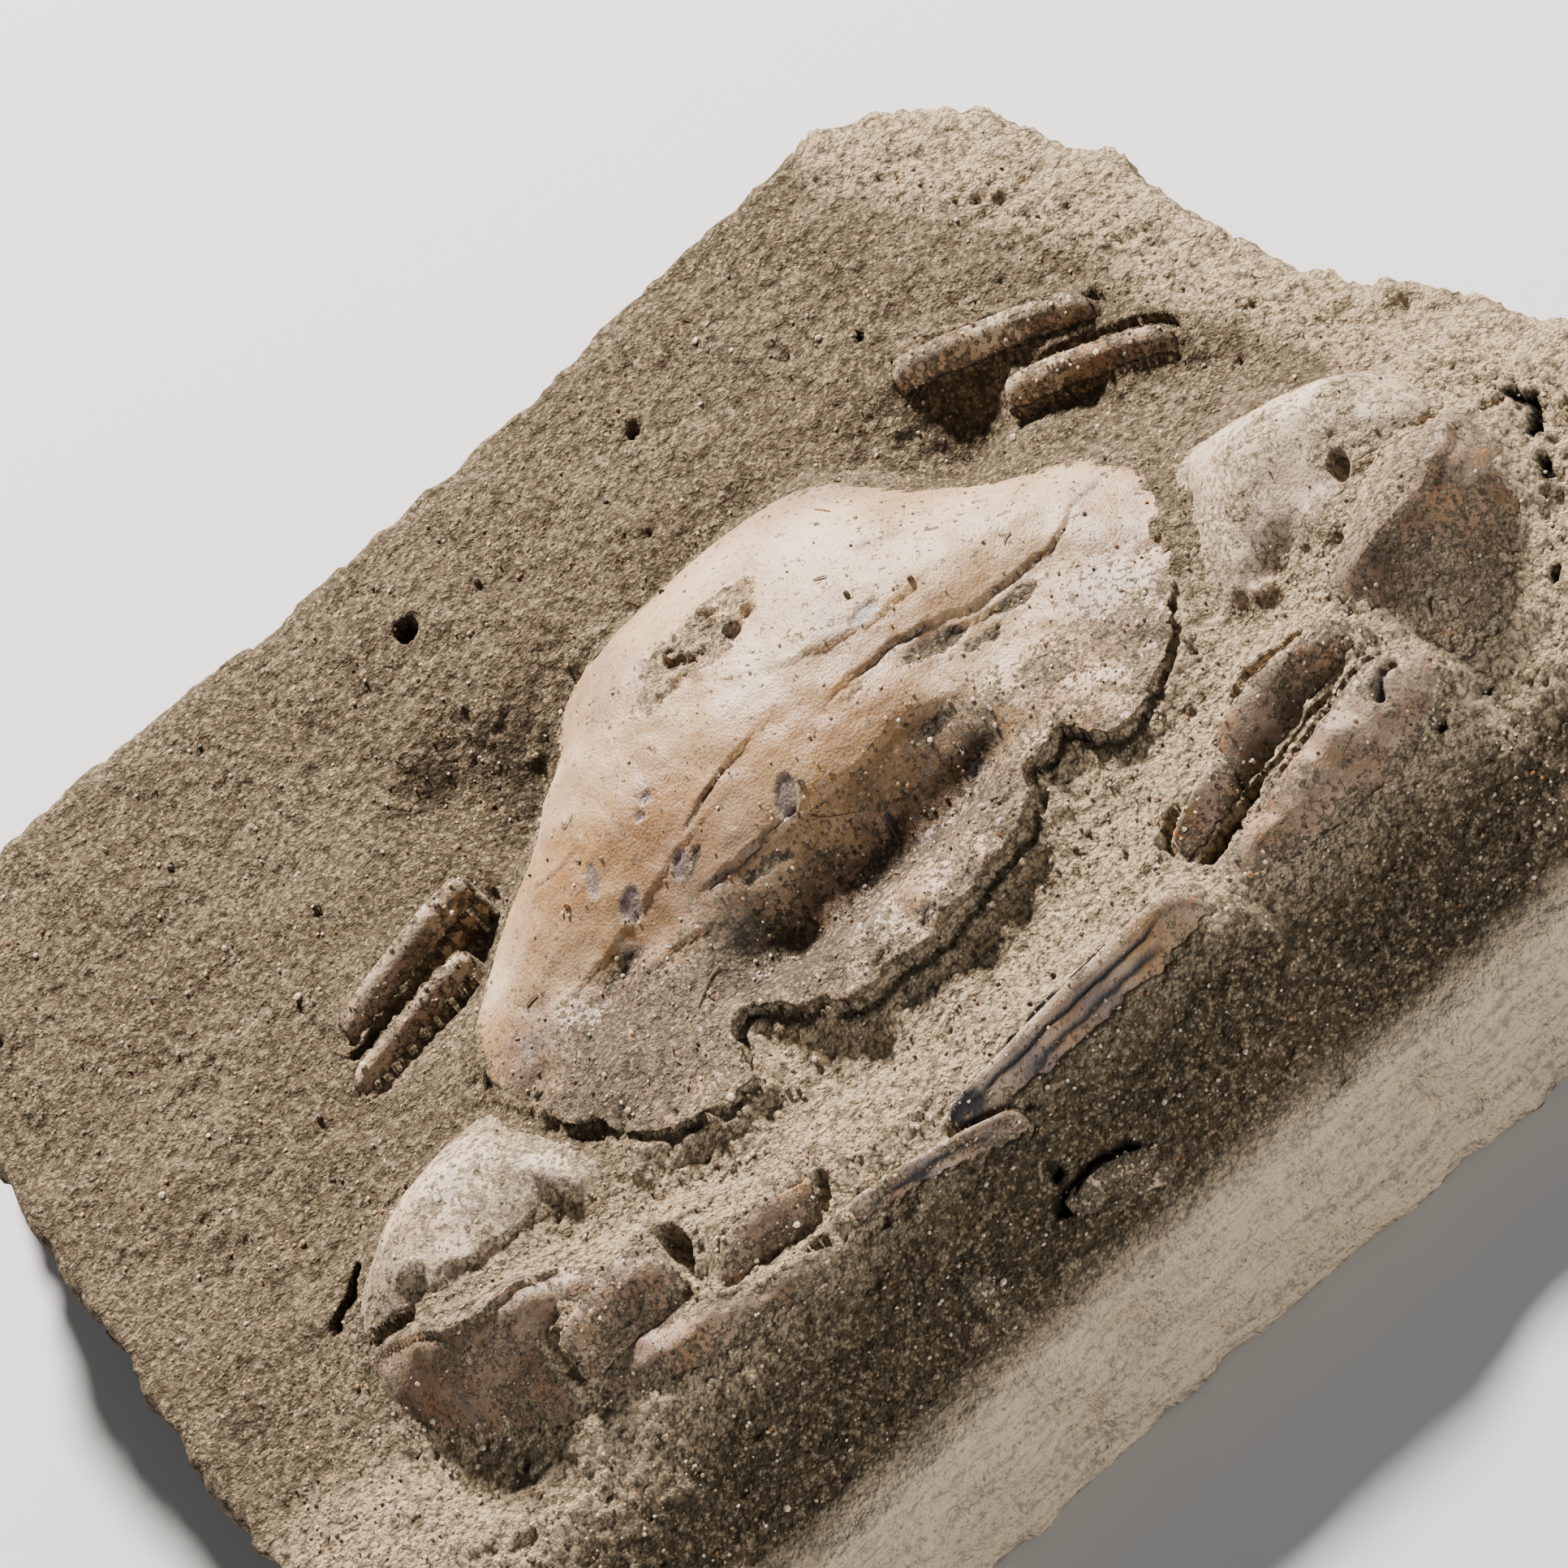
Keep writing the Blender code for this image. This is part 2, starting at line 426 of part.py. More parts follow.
def circle_points(x, y, radius, count):
    """Corners of a regular polygon in plan."""
    turns = [2 * math.pi * k / count for k in range(count)]
    return [(x + radius * math.cos(turn), y + radius * math.sin(turn)) for turn in turns]


def share(value, start, end):
    """How far a value has got from start to end, from 0 to 1."""
    return min(max((value - start) / (end - start), 0), 1)


def lumps(xy):
    """Small unevenness of the stone, strongest on the slope along its broken right rear side."""
    shake = random.Random(31)
    start_y, start_x = zip(*SLOPE_START)
    past_start = xy[:, 0] - np.interp(xy[:, 1], start_y, start_x)
    strength = PLAIN_LUMPS + (BROKEN_LUMPS - PLAIN_LUMPS) * np.clip(past_start / SLOPE_BLEND, 0, 1)
    return strength * np.array([shake.uniform(-1, 1) for _ in xy])


def stone_solid(edge, rings, seats, shell_seat_points, ground):
    """The block: its top with a fitted seat for every fossil piece, ragged sides and a flat underside."""
    seat_rings = []
    for name, ring in rings.items():
        if name == "carapace":
            seat_rings.append(ring)
        seat_rings.append(offset_ring(ring, GAP))
        seat_rings.append(offset_ring(ring, GAP + WALL_RUN))
    loose = scattered(edge, STONE_CELL, STONE_CELL * RIM_CLEAR, seed=23)
    clear = np.min([edge_distance(loose, ring) for ring in rings.values()], axis=0)
    loose = loose[clear > STONE_CELL * RIM_CLEAR]
    pits = []
    for x, y, radius, depth in STONE_PITS:
        loose = loose[np.hypot(loose[:, 0] - x, loose[:, 1] - y) > radius * PIT_CLEAR]
        pits += circle_points(x, y, radius, PIT_CORNERS)
        pits += circle_points(x, y, radius * PIT_FLOOR, PIT_FLOOR_CORNERS)
    top_xy, top_faces = triangulate([edge] + seat_rings, np.vstack((loose, pits, shell_seat_points)))
    top_z = ground(top_xy) + lumps(top_xy)
    for x, y, radius, depth in STONE_PITS:
        top_z[np.hypot(top_xy[:, 0] - x, top_xy[:, 1] - y) < radius * (1 + PIT_FLOOR) / 2] -= depth
    for name, ring in rings.items():
        over = edge_distance(top_xy, ring) < GAP + WALL_RUN * 0.5
        top_z[over] = seats[name](top_xy[over]) - GAP
    rim = len(edge)
    top_z[:rim] = edge[:, 2]

    corners = [(x, y, z) for (x, y), z in zip(top_xy, top_z)]
    faces = [tuple(face) for face in top_faces]
    shake = random.Random(41)
    outward = offset_ring(edge, 1) - edge
    above = list(range(rim))
    for level in WALL_LEVELS:
        below = []
        for point, out in zip(edge, outward):
            flare = level * (FOOT_LEAN + FOOT_FLARE * share(point[0], *FLARE_BLEND))
            below.append(len(corners))
            corners.append((point[0] + out[0] * flare + shake.uniform(-FOOT_RAGGED, FOOT_RAGGED),
                            point[1] + out[1] * flare + shake.uniform(-FOOT_RAGGED, FOOT_RAGGED),
                            point[2] + (-BLOCK_HEIGHT - point[2]) * level))
        for i in range(rim):
            after = (i + 1) % rim
            faces.append((above[i], below[i], below[after]))
            faces.append((above[i], below[after], above[after]))
        above = below
    foot = np.array([corners[i] for i in above])
    foot_xy, foot_faces = triangulate([foot], [])
    faces += [tuple(above[i] for i in reversed(face)) for face in foot_faces]
    return corners, faces


def block_edge():
    """The block's top edge, smooth but slightly ragged."""
    edge = smooth_ring(BLOCK_EDGE, STONE_EDGE)
    shake = random.Random(5)
    for point in edge:
        point[0] += shake.uniform(-RAGGED, RAGGED)
        point[1] += shake.uniform(-RAGGED, RAGGED)
    return edge


def carapace_heights():
    """Known heights all over the carapace: its margin, the middle line and both halves."""
    middle = [(0, y, z) for y, z in CARAPACE_MIDDLE]
    right = [(-x, y, z) for x, y, z in CARAPACE_HALF]
    return CARAPACE_EDGE + middle + CARAPACE_HALF + right


def stone_heights():
    """Known heights of the stone: just below the rim of every fossil piece, then around them."""
    known = []
    for x, y, z in CARAPACE_EDGE:
        known.append((x, y, z - SIDE_STEP - (FRONT_STEP - SIDE_STEP) * share(y, *FRONT_BLEND)))
    for shape in PIECES.values():
        known += [(x, y, z - PIECE_STEP) for x, y, z in shape["edge"]]
    return known + STONE_SPOTS + BLOCK_EDGE


def build():
    for old in list(bpy.data.objects):
        bpy.data.objects.remove(old)

    shell_height = bent_plate(carapace_heights())
    rings = {"carapace": smooth_ring(CARAPACE_EDGE, SHELL_RIM)}
    seats = {"carapace": lambda xy: shell_height(xy) - SHELL_THICKNESS}
    floors = {}
    for name, shape in PIECES.items():
        rings[name] = smooth_ring(shape["edge"], PIECE_RIM)
        floors[name] = min(z for x, y, z in shape["edge"]) - SEAT_DEPTH
        seats[name] = lambda xy, floor=floors[name]: np.full(len(xy), floor)

    seat_points = scattered(rings["carapace"], SHELL_SEAT_CELL, SHELL_SEAT_CELL * SEAT_RIM_CLEAR, seed=17)
    stone = stone_solid(block_edge(), rings, seats, seat_points, bent_plate(stone_heights()))
    corners = np.array(stone[0])
    middle = (corners.min(axis=0) + corners.max(axis=0)) / 2
    origin = np.array((middle[0], middle[1], -BLOCK_HEIGHT))

    add_piece("stone", stone, origin, "sandstone")
    shell = carapace_solid(rings["carapace"], shell_height, seats["carapace"], seat_points)
    add_piece("carapace", shell, origin, "shell")
    for seed, (name, shape) in enumerate(PIECES.items(), start=60):
        add_piece(name, embedded_solid(name, shape, rings[name], floors[name], seed), origin, shape["tint"])


build()
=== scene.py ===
import math
import random

import bpy
import bmesh
import numpy as np
from mathutils import Matrix, Vector, bvhtree, kdtree, noise


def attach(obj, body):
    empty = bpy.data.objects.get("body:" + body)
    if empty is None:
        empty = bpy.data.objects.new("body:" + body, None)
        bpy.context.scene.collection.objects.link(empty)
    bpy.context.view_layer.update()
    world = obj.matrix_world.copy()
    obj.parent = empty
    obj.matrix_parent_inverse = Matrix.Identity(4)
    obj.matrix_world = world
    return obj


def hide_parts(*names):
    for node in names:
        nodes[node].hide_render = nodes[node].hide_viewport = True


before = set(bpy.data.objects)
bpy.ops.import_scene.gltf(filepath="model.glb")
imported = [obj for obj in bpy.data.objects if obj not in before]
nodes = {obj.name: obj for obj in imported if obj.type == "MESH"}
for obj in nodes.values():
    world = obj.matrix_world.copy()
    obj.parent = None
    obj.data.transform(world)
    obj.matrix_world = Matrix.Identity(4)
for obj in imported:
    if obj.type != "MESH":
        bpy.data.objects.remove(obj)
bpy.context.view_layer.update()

# The crab was measured in millimetres from the middle of its carapace, on the slab's flat top.
crabZero = np.array((0.8525, 0.0675, 28.0))


def deselect():
    bpy.ops.object.select_all(action="DESELECT")


def pick(obj):
    deselect()
    obj.select_set(True)
    bpy.context.view_layer.objects.active = obj


def useModifier(obj, kind, **settings):
    pick(obj)
    modifier = obj.modifiers.new(kind.lower(), kind)
    for key, value in settings.items():
        setattr(modifier, key, value)
    bpy.ops.object.modifier_apply(modifier=modifier.name)


def copyNode(name, newName):
    obj = bpy.data.objects.new(newName, nodes[name].data.copy())
    obj.data.name = newName
    bpy.context.scene.collection.objects.link(obj)
    pick(obj)
    bpy.ops.object.mode_set(mode="EDIT")
    bpy.ops.mesh.select_all(action="SELECT")
    bpy.ops.mesh.remove_doubles(threshold=0.00001)
    bpy.ops.object.mode_set(mode="OBJECT")
    obj.data.materials.clear()
    return obj


def readPoints(obj):
    flat = np.empty(len(obj.data.vertices) * 3)
    obj.data.vertices.foreach_get("co", flat)
    return flat.reshape(-1, 3) * 1000 - crabZero


def writePoints(obj, points):
    obj.data.vertices.foreach_set("co", ((points + crabZero) / 1000).ravel())
    obj.data.update()


def readNormals(obj):
    flat = np.empty(len(obj.data.vertices) * 3)
    obj.data.vertices.foreach_get("normal", flat)
    return flat.reshape(-1, 3)


def paint(obj, name, values):
    layer = obj.data.attributes.get(name) or obj.data.attributes.new(name, "FLOAT", "POINT")
    layer.data.foreach_set("value", np.clip(values, 0, 1).astype(np.float32))


def ease(value, start, end):
    t = np.clip((value - start) / (end - start), 0, 1)
    return t * t * (3 - 2 * t)


def waves(points, size, seed=0, detail=1):
    # smooth noise, roughly -1 to 1, lumps about size millimetres wide
    shift = seed * 17.3
    scaled = points / size + shift
    result = np.zeros(len(points))
    strength = 1.0
    for level in range(detail):
        result += strength * np.array([noise.noise(p) for p in scaled.tolist()])
        scaled = scaled * 2.03 + 5.1
        strength *= 0.5
    return result


def crumbs(points, size, seed=0):
    # rounded crumbs of about size millimetres with narrow gaps: 0 in a gap, 1 on a crumb
    near = np.array([noise.voronoi(p)[0][:2] for p in (points / size + seed * 3.7).tolist()])
    return ease(near[:, 1] - near[:, 0], 0.0, 0.4) * (1 - 0.45 * ease(near[:, 0], 0.1, 0.75))


def alongLine(xy, line):
    # distance to a drawn line, which side of it (+ on its left), and how far along it, 0 to 1
    line = np.array(line, float)
    best = np.full(len(xy), 1e9)
    side = np.zeros(len(xy))
    share = np.zeros(len(xy))
    runs = np.linalg.norm(np.diff(line, axis=0), axis=1)
    total = runs.sum()
    gone = 0.0
    for start, end, run in zip(line[:-1], line[1:], runs):
        way = (end - start) / run
        offset = xy - start
        t = np.clip(offset @ way, 0, run)
        gap = np.hypot(*(offset - t[:, None] * way).T)
        closer = gap < best
        best[closer] = gap[closer]
        side[closer] = np.sign(way[0] * offset[:, 1] - way[1] * offset[:, 0])[closer]
        share[closer] = ((gone + t) / total)[closer]
        gone += run
    return best, side, share


def spot(xy, centre, radius):
    # 1 in the middle of a spot, 0 outside it; radius is one number, or (along, across, turn in degrees)
    offset = xy - np.array(centre[:2])
    if isinstance(radius, tuple):
        turn = math.radians(radius[2])
        along = (offset[:, 0] * math.cos(turn) + offset[:, 1] * math.sin(turn)) / radius[0]
        across = (-offset[:, 0] * math.sin(turn) + offset[:, 1] * math.cos(turn)) / radius[1]
        gap = np.hypot(along, across)
    else:
        gap = np.hypot(offset[:, 0], offset[:, 1]) / radius
    return 1 - ease(gap, 0.0, 1.0)


def groove(xy, line, width, taper=True):
    gap, _, share = alongLine(xy, line)
    depth = 1 - ease(gap, 0, width)
    if taper:
        depth *= ease(share, 0, 0.15) * (1 - ease(share, 0.85, 1))
    return depth


def grooves(xy, lines, width, taper=True):
    # several grooves at once, of which the deepest counts
    return np.max([np.zeros(len(xy))] + [groove(xy, line, width, taper) for line in lines], axis=0)


def shaken(points, reach, size, seed):
    # plan places moved about by noise, so that drawn lines come out ragged
    return points[:, :2] + reach * np.stack((waves(points, size, seed, 2), waves(points, size, seed + 1, 2)), axis=1)


def rimGap(obj):
    # plan distance of every vertex from the piece's own open rim
    mesh = bmesh.new()
    mesh.from_mesh(obj.data)
    rim = [v.co.copy() for v in mesh.verts if v.is_boundary]
    tree = kdtree.KDTree(len(rim))
    for i, co in enumerate(rim):
        tree.insert((co.x, co.y, 0), i)
    tree.balance()
    gaps = np.array([tree.find((v.co.x, v.co.y, 0))[2] for v in mesh.verts]) * 1000
    mesh.free()
    return gaps


def editFaces(obj, wanted):
    # edit mode, with only the wanted faces selected
    pick(obj)
    bpy.ops.object.mode_set(mode="EDIT")
    bpy.ops.mesh.select_all(action="DESELECT")
    mesh = bmesh.from_edit_mesh(obj.data)
    for face in mesh.faces:
        face.select_set(bool(wanted(face)))
    bmesh.update_edit_mesh(obj.data)


def openUnderside(obj, steepest=-0.3):
    # the hidden lower side goes, so that all the faces are spent on what shows
    editFaces(obj, lambda face: face.normal.z < steepest)
    bpy.ops.mesh.delete(type="FACE")
    bpy.ops.object.mode_set(mode="OBJECT")


def closeUnderside(obj):
    pick(obj)
    bpy.ops.object.mode_set(mode="EDIT")
    bpy.ops.mesh.select_all(action="SELECT")
    bpy.ops.mesh.fill_holes(sides=0)
    bpy.ops.object.mode_set(mode="OBJECT")


# Materials. Each look is a dictionary of colours (linear) and sizes, and one small builder turns it into nodes.
sandstoneLook = {
    "dark": (0.040, 0.027, 0.014),
    "middle": (0.125, 0.088, 0.052),
    "light": (0.200, 0.146, 0.090),
    "chalky": (0.50, 0.37, 0.225),
    "pale": (0.66, 0.50, 0.315),
    "streak": (0.20, 0.22, 0.25),
    # cutStone: the cut face's own paler tone, made paler still as painted light for the light that the floor throws up
    # onto it
    "cutStone": (0.50, 0.42, 0.32),
    "shade": (0.070, 0.048, 0.027),
    # hole: near-black, painted shade deep in the slots, cracks and holes of the stone
    "hole": (0.010, 0.007, 0.004),
    "crumb": 0.95,           # millimetres
    "grain": 0.34,
    "bumpDepth": 0.0011,
    "tones": [      # colour, what it follows, where it starts, where it is full, strength
        # the tones that follow crumb, lumpGap and grainGap make the crumb tops lighter and paint the gaps between lumps
        # and grains dark, painted shade; those that follow grainTone give each grain its own tone
        ("chalky", "crumb", 0.50, 0.70, 0.5), ("chalky", "grainTone", 0.62, 0.80, 0.45),
        ("dark", "grainTone", 0.36, 0.22, 0.55), ("dark", "crumb", 0.45, 0.28, 0.8),
        ("dark", "lumpGap", 0.50, 0.78, 0.65), ("dark", "grainGap", 0.50, 0.80, 0.4)],
}


class Nodes:
    # short hand for building a node tree from left to right
    def __init__(self, name):
        self.material = bpy.data.materials.new(name)
        self.material.use_nodes = True
        self.tree = self.material.node_tree
        self.shader = self.tree.nodes["Principled BSDF"]
        coordinate = self.add("ShaderNodeTexCoord")
        self.place = coordinate.outputs["Object"]

    def add(self, kind, **settings):
        node = self.tree.nodes.new(kind)
        for key, value in settings.items():
            setattr(node, key, value)
        return node

    def link(self, start, end):
        self.tree.links.new(start, end)

    def feed(self, socket, value):
        if hasattr(value, "links"):
            self.link(value, socket)
        elif isinstance(value, tuple) and len(value) == 3 and socket.type == "RGBA":
            socket.default_value = (*value, 1)
        else:
            socket.default_value = value

    def noise(self, size, detail=3, roughness=0.55, place=None, distortion=0.0):
        # size in millimetres
        node = self.add("ShaderNodeTexNoise")
        self.link(place or self.place, node.inputs["Vector"])
        node.inputs["Scale"].default_value = 1000 / size
        node.inputs["Detail"].default_value = detail
        node.inputs["Roughness"].default_value = roughness
        node.inputs["Distortion"].default_value = distortion
        return node.outputs["Fac"]

    def grains(self, size):
        # distance from each grain's middle, and one random tone for each grain
        node = self.add("ShaderNodeTexVoronoi")
        self.link(self.place, node.inputs["Vector"])
        node.inputs["Scale"].default_value = 1000 / size
        return node.outputs["Distance"], node.outputs["Color"]

    def stretched(self, scale, turn=(0, 0, 0)):
        node = self.add("ShaderNodeMapping")
        self.link(self.place, node.inputs["Vector"])
        node.inputs["Scale"].default_value = scale
        node.inputs["Rotation"].default_value = turn
        return node.outputs["Vector"]

    def levels(self, value, low, high, start=0.0, end=1.0):
        node = self.add("ShaderNodeMapRange", interpolation_type="SMOOTHSTEP")
        self.link(value, node.inputs["Value"])
        node.inputs["From Min"].default_value = low
        node.inputs["From Max"].default_value = high
        node.inputs["To Min"].default_value = start
        node.inputs["To Max"].default_value = end
        return node.outputs["Result"]

    def math(self, operation, first, second):
        node = self.add("ShaderNodeMath", operation=operation)
        self.feed(node.inputs[0], first)
        self.feed(node.inputs[1], second)
        return node.outputs[0]

    def mix(self, share, first, second):
        node = self.add("ShaderNodeMix", data_type="RGBA")
        self.feed(node.inputs[0], share)
        self.feed(node.inputs[6], first)
        self.feed(node.inputs[7], second)
        return node.outputs[2]

    def tint(self, colour, tone, source, low, high, strength=1.0):
        # a tone that comes in where the source runs from low to high
        return self.mix(self.levels(source, low, high, 0, strength), colour, tone)

    def scaled(self, value, factor):
        return self.math("MULTIPLY", value, factor)

    def painted(self, name, share=1.0):
        node = self.add("ShaderNodeAttribute", attribute_name=name)
        return node.outputs["Fac"] if share == 1.0 else self.scaled(node.outputs["Fac"], share)

    def bump(self, height, depth, under=None):
        node = self.add("ShaderNodeBump")
        self.link(height, node.inputs["Height"])
        node.inputs["Distance"].default_value = depth
        if under:
            self.link(under, node.inputs["Normal"])
        return node.outputs["Normal"]


def sandNodes(n, look):
    # colour and height of crumbly sandstone, used for the stone and for the sand that clings to the shell
    crumb = n.noise(look["crumb"], 5, 0.66)
    grainGap, grainTone = n.grains(look["grain"])
    lumpGap = n.grains(look["crumb"] * 0.9)[0]
    sources = {"crumb": crumb, "grainGap": grainGap, "grainTone": grainTone, "lumpGap": lumpGap}
    colour = n.mix(n.levels(n.noise(11, 4, 0.6), 0.38, 0.66), look["middle"], look["light"])
    colour = n.mix(n.painted("shade", 0.85), colour, look["shade"])
    colour = n.mix(n.painted("pale", 0.8), colour, look["pale"])
    for tone, source, low, high, strength in look["tones"]:
        colour = n.tint(colour, look[tone], sources[source], low, high, strength)
    height = n.math("ADD", crumb, n.scaled(grainGap, -0.22))
    height = n.math("ADD", height, n.scaled(lumpGap, -0.30))
    return colour, height


def makeSandstone(name, look):
    n = Nodes(name)
    colour, height = sandNodes(n, look)
    face = n.painted("cutFace")      # the smoother face that was cut at the front
    bands = n.noise(1.1, 6, 0.75, n.stretched((0.10, 0.6, 1.0), (0, 0.05, 0)))
    specks = n.noise(0.5, 3, 0.7)
    # the cut face is painted paler, partly as painted light for the light that the floor throws up onto it
    colour = n.mix(n.scaled(face, 0.38), colour, look["cutStone"])
    for tone, source, low, high, strength in (("pale", bands, 0.44, 0.56, 0.7), ("streak", bands, 0.60, 0.66, 0.7),
                                              ("dark", specks, 0.42, 0.32, 0.6)):
        colour = n.mix(n.scaled(n.levels(source, low, high, 0, strength), face), colour, look[tone])
    colour = n.mix(n.painted("deep"), colour, look["hole"])
    n.link(colour, n.shader.inputs["Base Color"])
    n.shader.inputs["Roughness"].default_value = 0.95
    n.shader.inputs["Specular IOR Level"].default_value = 0.2
    flatter = n.math("SUBTRACT", 1.0, n.scaled(face, 0.3))
    n.link(n.bump(n.scaled(height, flatter), look["bumpDepth"]), n.shader.inputs["Normal"])
    return n.material


def makeShell(name, look):
    n = Nodes(name)
    patches = n.noise(look["patchSize"], 4, 0.6, distortion=0.5)
    widePatches = n.noise(look["patchSize"] * 1.7, 3, 0.5)
    grain = n.noise(0.5, 4, 0.65)
    granules = n.grains(look["granule"])[0]
    freckles = n.grains(2.6)[0]
    colour = n.mix(n.levels(patches, 0.36, 0.62), look["pale"], look["tan"])
    colour = n.tint(colour, look["rose"], widePatches, 0.50, 0.64)
    colour = n.tint(colour, look["rose"], n.noise(2.2, 5, 0.7), 0.52, 0.68, 0.55)
    colour = n.tint(colour, look["orange"], n.noise(3.1, 5, 0.7), 0.50, 0.68, 0.5)
    # bleached_and_highlight brings in the light tone, as bleaching and as painted highlight; stain_and_shade brings in
    # brown, as staining and as painted shade
    for mark, tone, strength in (("bleached_and_highlight", "light", 0.9), ("orange", "orange", 0.9), ("stain_and_shade", "brown", 0.92),
                                 ("lilac", "lilac", 0.85)):
        colour = n.mix(n.painted(mark, strength), colour, look[tone])
    colour = n.tint(colour, look["light"], grain, 0.52, 0.74, 0.35)
    colour = n.tint(colour, look["brown"], grain, 0.42, 0.28, 0.35)
    colour = n.tint(colour, look["brown"], freckles, 0.12, 0.06, 0.6)
    colour = n.mix(n.painted("rust", 0.95), colour, look["rust"])
    colour = n.mix(n.painted("dark"), colour, look["deep"])
    # sand lies on it in patches and single grains
    sandColour, sandHeight = sandNodes(n, sandstoneLook)
    speckle = n.scaled(n.math("SUBTRACT", n.noise(0.75, 5, 0.72), 0.5), 2.0)
    sprinkled = n.scaled(n.math("SUBTRACT", n.grains(0.42)[1], 0.5), 0.55)
    sand = n.levels(n.math("ADD", n.math("ADD", n.painted("dust"), speckle), sprinkled), 0.34, 0.56)
    colour = n.mix(sand, colour, sandColour)
    n.link(colour, n.shader.inputs["Base Color"])
    n.link(n.math("ADD", n.levels(sand, 0, 1, look["roughness"], 0.9), n.scaled(grain, 0.1)),
           n.shader.inputs["Roughness"])
    n.shader.inputs["Specular IOR Level"].default_value = 0.4
    smooth = n.math("SUBTRACT", n.scaled(grain, 0.8), n.scaled(granules, 0.8))
    normal = n.bump(smooth, look["granuleDepth"])
    n.link(n.bump(n.scaled(sandHeight, sand), sandstoneLook["bumpDepth"], normal), n.shader.inputs["Normal"])
    return n.material


shellLook = {
    "pale": (0.43, 0.280, 0.150),
    "tan": (0.33, 0.185, 0.078),
    "rose": (0.29, 0.175, 0.105),
    "light": (0.60, 0.445, 0.310),
    "brown": (0.075, 0.036, 0.015),
    "orange": (0.29, 0.140, 0.042),
    "rust": (0.40, 0.13, 0.025),
    "lilac": (0.135, 0.100, 0.098),
    "deep": (0.022, 0.018, 0.020),
    "granule": 0.32,           # millimetres
    "granuleDepth": 0.00006,
    "patchSize": 11,
    "roughness": 0.46,
}
clawLook = dict(shellLook, pale=(0.325, 0.222, 0.143), tan=(0.22, 0.135, 0.076), rose=(0.25, 0.155, 0.105),
                patchSize=6, roughness=0.55)
legLook = dict(shellLook, pale=(0.56, 0.425, 0.285), tan=(0.38, 0.265, 0.16), patchSize=5, roughness=0.6)
wristLook = dict(shellLook, pale=(0.55, 0.42, 0.30), tan=(0.40, 0.285, 0.185), rose=(0.38, 0.265, 0.195),
                 patchSize=9, roughness=0.55, granuleDepth=0.00007)

sandstone = makeSandstone("sandstone", sandstoneLook)
carapaceShell = makeShell("carapace_shell", shellLook)
wristShell = makeShell("wrist_shell", wristLook)
clawShell = makeShell("claw_shell", clawLook)
legShell = makeShell("leg_shell", legLook)
print("materials ready")


# Sculpting marks. Lines and places are in crab millimetres, seen from above.
def step(xy, line, height, rear, front):
    # the ground stands up on the left of a line and has dropped on its right, both fading out sideways
    gap, side, share = alongLine(xy, line)
    ends = ease(share, 0, 0.2) * (1 - ease(share, 0.75, 1))
    above = height * np.clip(1 - gap / rear, 0, 1) ** 1.5
    below = -height * np.clip(1 - gap / front, 0, 1) ** 1.5
    return ends * np.where(side > 0, above, below)


def blots(xy, places):
    # soft painted blots: x, y, radius, strength
    total = np.zeros(len(xy))
    for px, py, radius, strength in places:
        total = np.maximum(total, strength * spot(xy, (px, py), radius))
    return total


def flatSheet(name, along, across):
    # a flat grid and its vertices' places in it, from -1 to 1 both ways
    deselect()
    bpy.ops.mesh.primitive_grid_add(x_subdivisions=along, y_subdivisions=across, size=0.002)
    obj = bpy.context.active_object
    obj.name = obj.data.name = name + "_fossil"
    places = readPoints(obj) + crabZero
    return obj, places[:, 0], places[:, 1]


bladeShape = {
    "along": 70, "across": 44,       # faces
    "skirt": 0.06,                   # the share of the sheet that hangs down below the foot
    "crestAt": 0.88,                 # the share at which it reaches the crest
    "skirtDrop": 1.6, "rearDrop": 2.6, "rearReach": 0.75, "endDrop": 2.0,      # millimetres
}


def blade(name, look):
    # a broken finger: a sharp crest along its rear edge and a face that falls to its foot in front
    skirt, crestAt = bladeShape["skirt"], bladeShape["crestAt"]
    obj, share, level = flatSheet(name, bladeShape["along"], bladeShape["across"])
    share, level = (share + 1) / 2, (level + 1) / 2
    top, low = (np.stack([np.interp(share, np.linspace(0, 1, len(line)), column) for column in zip(*line)], axis=1)
                for line in (look["crest"], look["foot"]))
    fromMiddle = np.abs(2 * share - 1)
    top += (low - top) * np.clip(fromMiddle * 5 - 4, 0, 1)[:, None] ** 2 * look["taper"]
    rise = np.clip((level - skirt) / (crestAt - skirt), 0, 1)
    points = low + (top - low) * rise[:, None]
    points[:, 2] = low[:, 2] + (top[:, 2] - low[:, 2]) * (1 - (1 - rise) ** look["roundness"])
    behind = np.clip((level - crestAt) / (1 - crestAt), 0, 1)
    points[:, 1] += bladeShape["rearReach"] * behind ** 0.8
    points[:, 2] -= bladeShape["rearDrop"] * behind ** 1.6 + bladeShape["skirtDrop"] * np.clip(1 - level / skirt, 0, 1)
    points[:, 2] -= bladeShape["endDrop"] * np.clip(fromMiddle / 0.08 - 11.5, 0, 1) ** 2
    writePoints(obj, points)
    return obj


def basePiece(name, look):
    if "crest" in look:
        return blade(name, look)
    obj = copyNode(name, name + "_fossil")
    useModifier(obj, "REMESH", mode="VOXEL", voxel_size=look["voxel"] / 1000)
    useModifier(obj, "SMOOTH", factor=0.5, iterations=look["smoothing"])
    openUnderside(obj)
    return obj


def finishPiece(obj, name, look):
    closeUnderside(obj)
    obj.data.materials.append(look["material"])
    pick(obj)
    bpy.ops.object.shade_smooth_by_angle(angle=math.radians(60))
    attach(obj, "root")
    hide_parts(name)
    print(name, len(obj.data.polygons), "faces")


def paintAll(obj, marks):
    for name in ("dust", "stain_and_shade", "orange", "rust", "lilac", "bleached_and_highlight", "dark", "pale", "shade"):
        paint(obj, name, marks.get(name, np.zeros(len(obj.data.vertices))))


